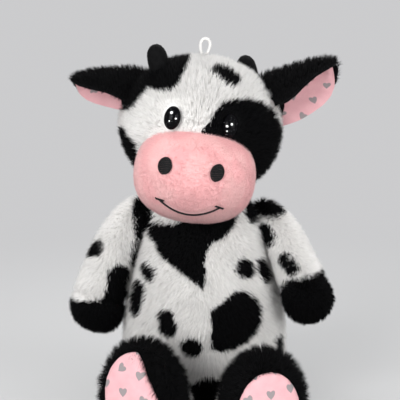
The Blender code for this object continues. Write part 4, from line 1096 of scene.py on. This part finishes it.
# Ears: cupped leaves of shaggy black plush, lined with the printed pink cotton. Each is one folded
# piece of cloth at its root, where it is sewn to the head.
def leaf(name, side, thickness, level, hems):
    """A cupped leaf of cloth from a grid, thickened, in the ear's place. Its root follows the head's side.
    The hems keep its far and its near rim short of the leaf's own."""
    origin, along, across, opening, length = EARS[side]
    bpy.ops.object.select_all(action="DESELECT")
    bpy.ops.mesh.primitive_grid_add(x_subdivisions=34, y_subdivisions=26, size=2)
    made = bpy.context.object
    matrix = Matrix((along, across, opening)).transposed()
    over = {}
    for vertex in made.data.vertices:
        spread = math.sin(vertex.co.y * math.pi / 2)
        sign = math.copysign(1, spread)
        if level:
            first, last = (np.interp(spread, LINING_ENDS[side][:, 0], LINING_ENDS[side][:, column])
                           for column in (1, 2))
        else:
            first, last = -0.27 * (1 - (0.8 if spread > 0 else 0.62) * spread**2), 1.0
        share = first + (vertex.co.x + 1) / 2 * (last - first)
        half, fold, rise = leaf_shape(side, share, spread)
        ended = share + (1 - last) * min(max((share - 0.6) / (last - 0.6), 0), 1)
        reach = max(leaf_shape(side, ended, spread)[0] - hems[0 if spread > 0 else 1], 0.0006)
        inner = abs(spread) * reach / half
        slope = CUP * fold * inner ** (CUP - 1) * sign / half
        off = level / math.hypot(1, slope)
        if side == "right":
            rise -= 0.0022 * math.exp(-((spread + 0.16 + 0.62 * share) / 0.13) ** 2) * min(max(share * 4, 0), 1)
        point = Vector((share * length, reach * spread - off * slope, fold * inner**CUP - rise + off))
        vertex.co = Vector(origin) + matrix @ point
        steps = (np.arange(12) + 0.5) / 12 * inner
        over[vertex.index] = share * length, np.hypot(half, CUP * fold * steps ** (CUP - 1)).mean() * inner * sign
    drawn = made.data.uv_layers.new(name="print")
    for loop in made.data.loops:
        drawn.data[loop.index].uv = over[loop.vertex_index]
    wall = made.modifiers.new("wall", "SOLIDIFY")
    wall.thickness, wall.offset = thickness, 0
    bpy.ops.object.modifier_apply(modifier="wall")
    smoothed(made)
    edited(bpy.ops.mesh.normals_make_consistent, inside=False)
    return plain(name)


def ear_keep(root, out, side, bare):
    """No pile on the lining's side of an ear, nor at the rim where the lining shows, except at the tip."""
    share, spread, half, fold = on_leaf(root, side)
    slope = CUP * fold * np.abs(spread) ** (CUP - 1) * np.sign(spread) / half
    inward = unit(np.stack([np.zeros(len(root)), -slope, np.ones(len(root))], 1))
    facing = (out @ np.array(EARS[side][1:4]).T * inward).sum(1)
    return (facing < 0.1) & ((spread * bare < 0.9) | (share > 0.84))


def on_leaf(root, side):
    """A point's share of an ear's length and of the way to its rim, from -1 to 1, and the leaf's half-width and
    fold there."""
    origin, *ways, length = (np.array(value) for value in EARS[side])
    along, aside, _ = ((root - origin) @ np.array(ways).T).T
    half, fold, _ = leaf_shape(side, along / length, aside)
    return along / length, aside / half, half, fold


for side, shift, turn, pitch in (("left", (0.0, -0.005), 0.0, 0.0195), ("right", (0.009, 0.005), 0.5, 0.0165)):
    origin, along, across, opening, length = (np.array(value) for value in EARS[side])
    bare = {"left": 1, "right": -1}[side]     # the rim where the lining shows
    hems = [0.0014 if rim == bare else 0 for rim in (1, -1)]
    ear = leaf(f"ear_plush_{side}", side, 0.0022, 0.0, hems)
    grow_pile(ear, 15000, 0.008, lambda root, out: np.tile(along, (len(root), 1)) + 0.3 * out, 81,
              lift=(76, 58), stray=0.45, tuft=20, gather=0.5,
              keep=lambda root, out: ear_keep(root, out, side, bare),
              trim=lambda root, out: 1 - 0.5 * np.clip((np.abs(on_leaf(root, side)[1]) - 0.8) / 0.18, 0, 1),
              wrap=((origin + opening * 0.006, along, -opening), -0.004, 0.058))
    coated(ear, black_plush, f"ear_{side}", f"ear_back_{side}", fill=0.2)
    hems = [-0.0002 if rim == bare else 0.0012 for rim in (1, -1)]
    lining = leaf(f"ear_lining_cotton_{side}", side, 0.0006, 0.0019, hems)
    cotton = print_material(f"heart_cotton_ear_{side}", shift, turn, pitch, 0.0032)
    coated(lining, cotton, f"ear_{side}", f"ear_lining_{side}")

# Tail: a thin stuffed tail of white plush on the seat's back seam, with a long black tuft.
TAIL_ROOT = Vector((0, 0.068624, 0.046))
droop, bent = math.radians(58), 0.026
arc = bent / droop
tail_line = []
for distance in np.linspace(-0.004, 0.052, 30).tolist():
    curved = min(max(distance, 0), bent)
    point = Vector((0, arc * math.sin(curved / arc), -arc * (1 - math.cos(curved / arc))))
    point += max(distance - bent, 0) * Vector((0, math.cos(droop), -math.sin(droop)))
    tail_line.append(TAIL_ROOT + point + Vector((0, min(distance, 0), 0)))
tail_points = np.array([list(point) for point in tail_line])


def tail_lay(root, out):
    nearest = np.linalg.norm(root[:, None] - tail_points[None], axis=2).argmin(1)
    return unit(np.gradient(tail_points, axis=0))[nearest]


tail_wrap = ((TAIL_ROOT, (0, 0.64, -0.768), (0, 0.768, 0.64)), -0.02, 0.06)
swell = [0.0026 + 0.0012 * math.sin(math.pi * min(share * 4, 1) / 2) for share in np.linspace(0, 1, 16)]
tail = tubes("tail_plush", [tail_line[:16]], swell, 14)
grow_pile(tail, 6000, 0.0078, tail_lay, 91, lift=(58, 34), gather=0.5, wrap=tail_wrap)
coated(tail, cow_print, "tail", "tail", fill=0.6)
swell = [0.0018 + 0.0048 * math.sin(math.pi * share) for share in np.linspace(0.08, 1, 12)]
tuft = tubes("tail_tuft_plush", [tail_line[15:27]], swell, 14)
grow_pile(tuft, 6000, 0.011, tail_lay, 93, lift=(46, 6), gather=0.55, tuft=30, wrap=tail_wrap)
coated(tuft, black_plush, "tail", "tail_tuft", fill=0.6)

# Floor and light: a plain pale floor that fades into the backdrop's colour, one big soft lamp to the left,
# a weaker one to the right and one above and behind.
bpy.ops.object.select_all(action="DESELECT")
bpy.ops.mesh.primitive_plane_add(size=14, location=(0, 0, 0))
floor = plain("floor")
BACKDROP = (0.6, 0.6, 0.61, 1)
pale, tree, shader = new_material("pale_floor")
fill_in(shader, {"Base Color": (0.56, 0.56, 0.56, 1), "Roughness": 0.85, "Specular IOR Level": 0.1})
away = add("VectorMath", {0: add("TexCoord", {}, "Object", tree)}, "Value", operation="LENGTH")
fade = ranged(away, 0, 1, 0.3, 1.1, interpolation_type="SMOOTHSTEP")
far_off = sums("MULTIPLY", fade, add("LightPath", {}, "Is Camera Ray", tree))
unlit = add("Emission", {"Color": BACKDROP}, 0, tree)
fill_in(tree.nodes["Material Output"], {
    "Surface": add("MixShader", {0: far_off, 1: shader.outputs["BSDF"], 2: unlit})})
floor.data.materials.append(pale)

for name, location, size, power in (("key", (-0.8, -1.45, 0.7), 0.9, 27), ("fill", (1.2, -1.2, 0.45), 1.1, 19),
                                    ("top", (0.1, 0.7, 1.5), 0.9, 11)):
    bpy.ops.object.light_add(type="AREA", location=location)
    lamp = bpy.context.object
    lamp.name = name
    lamp.data.size = size
    lamp.data.energy = power
    lamp.rotation_euler = (Vector((0, 0, 0.15)) - Vector(location)).to_track_quat("-Z", "Y").to_euler()

world = bpy.data.worlds.new("studio")
bpy.context.scene.world = world
world.use_nodes = True
tree = world.node_tree
lit = tree.nodes["Background"]
fill_in(lit, {"Color": (0.9, 0.91, 0.93, 1), "Strength": 0.6})
seen = add("Background", {"Color": BACKDROP, "Strength": 1}, 0, tree)
ray = add("LightPath", {}, 0, tree).node.outputs
direct = sums("MAXIMUM", ray["Is Glossy Ray"], ray["Is Transmission Ray"])
either = {0: sums("MAXIMUM", ray["Is Camera Ray"], direct), 1: lit.outputs[0], 2: seen}
fill_in(tree.nodes["World Output"], {"Surface": add("MixShader", either)})
bpy.context.scene.view_settings.view_transform = "Standard"
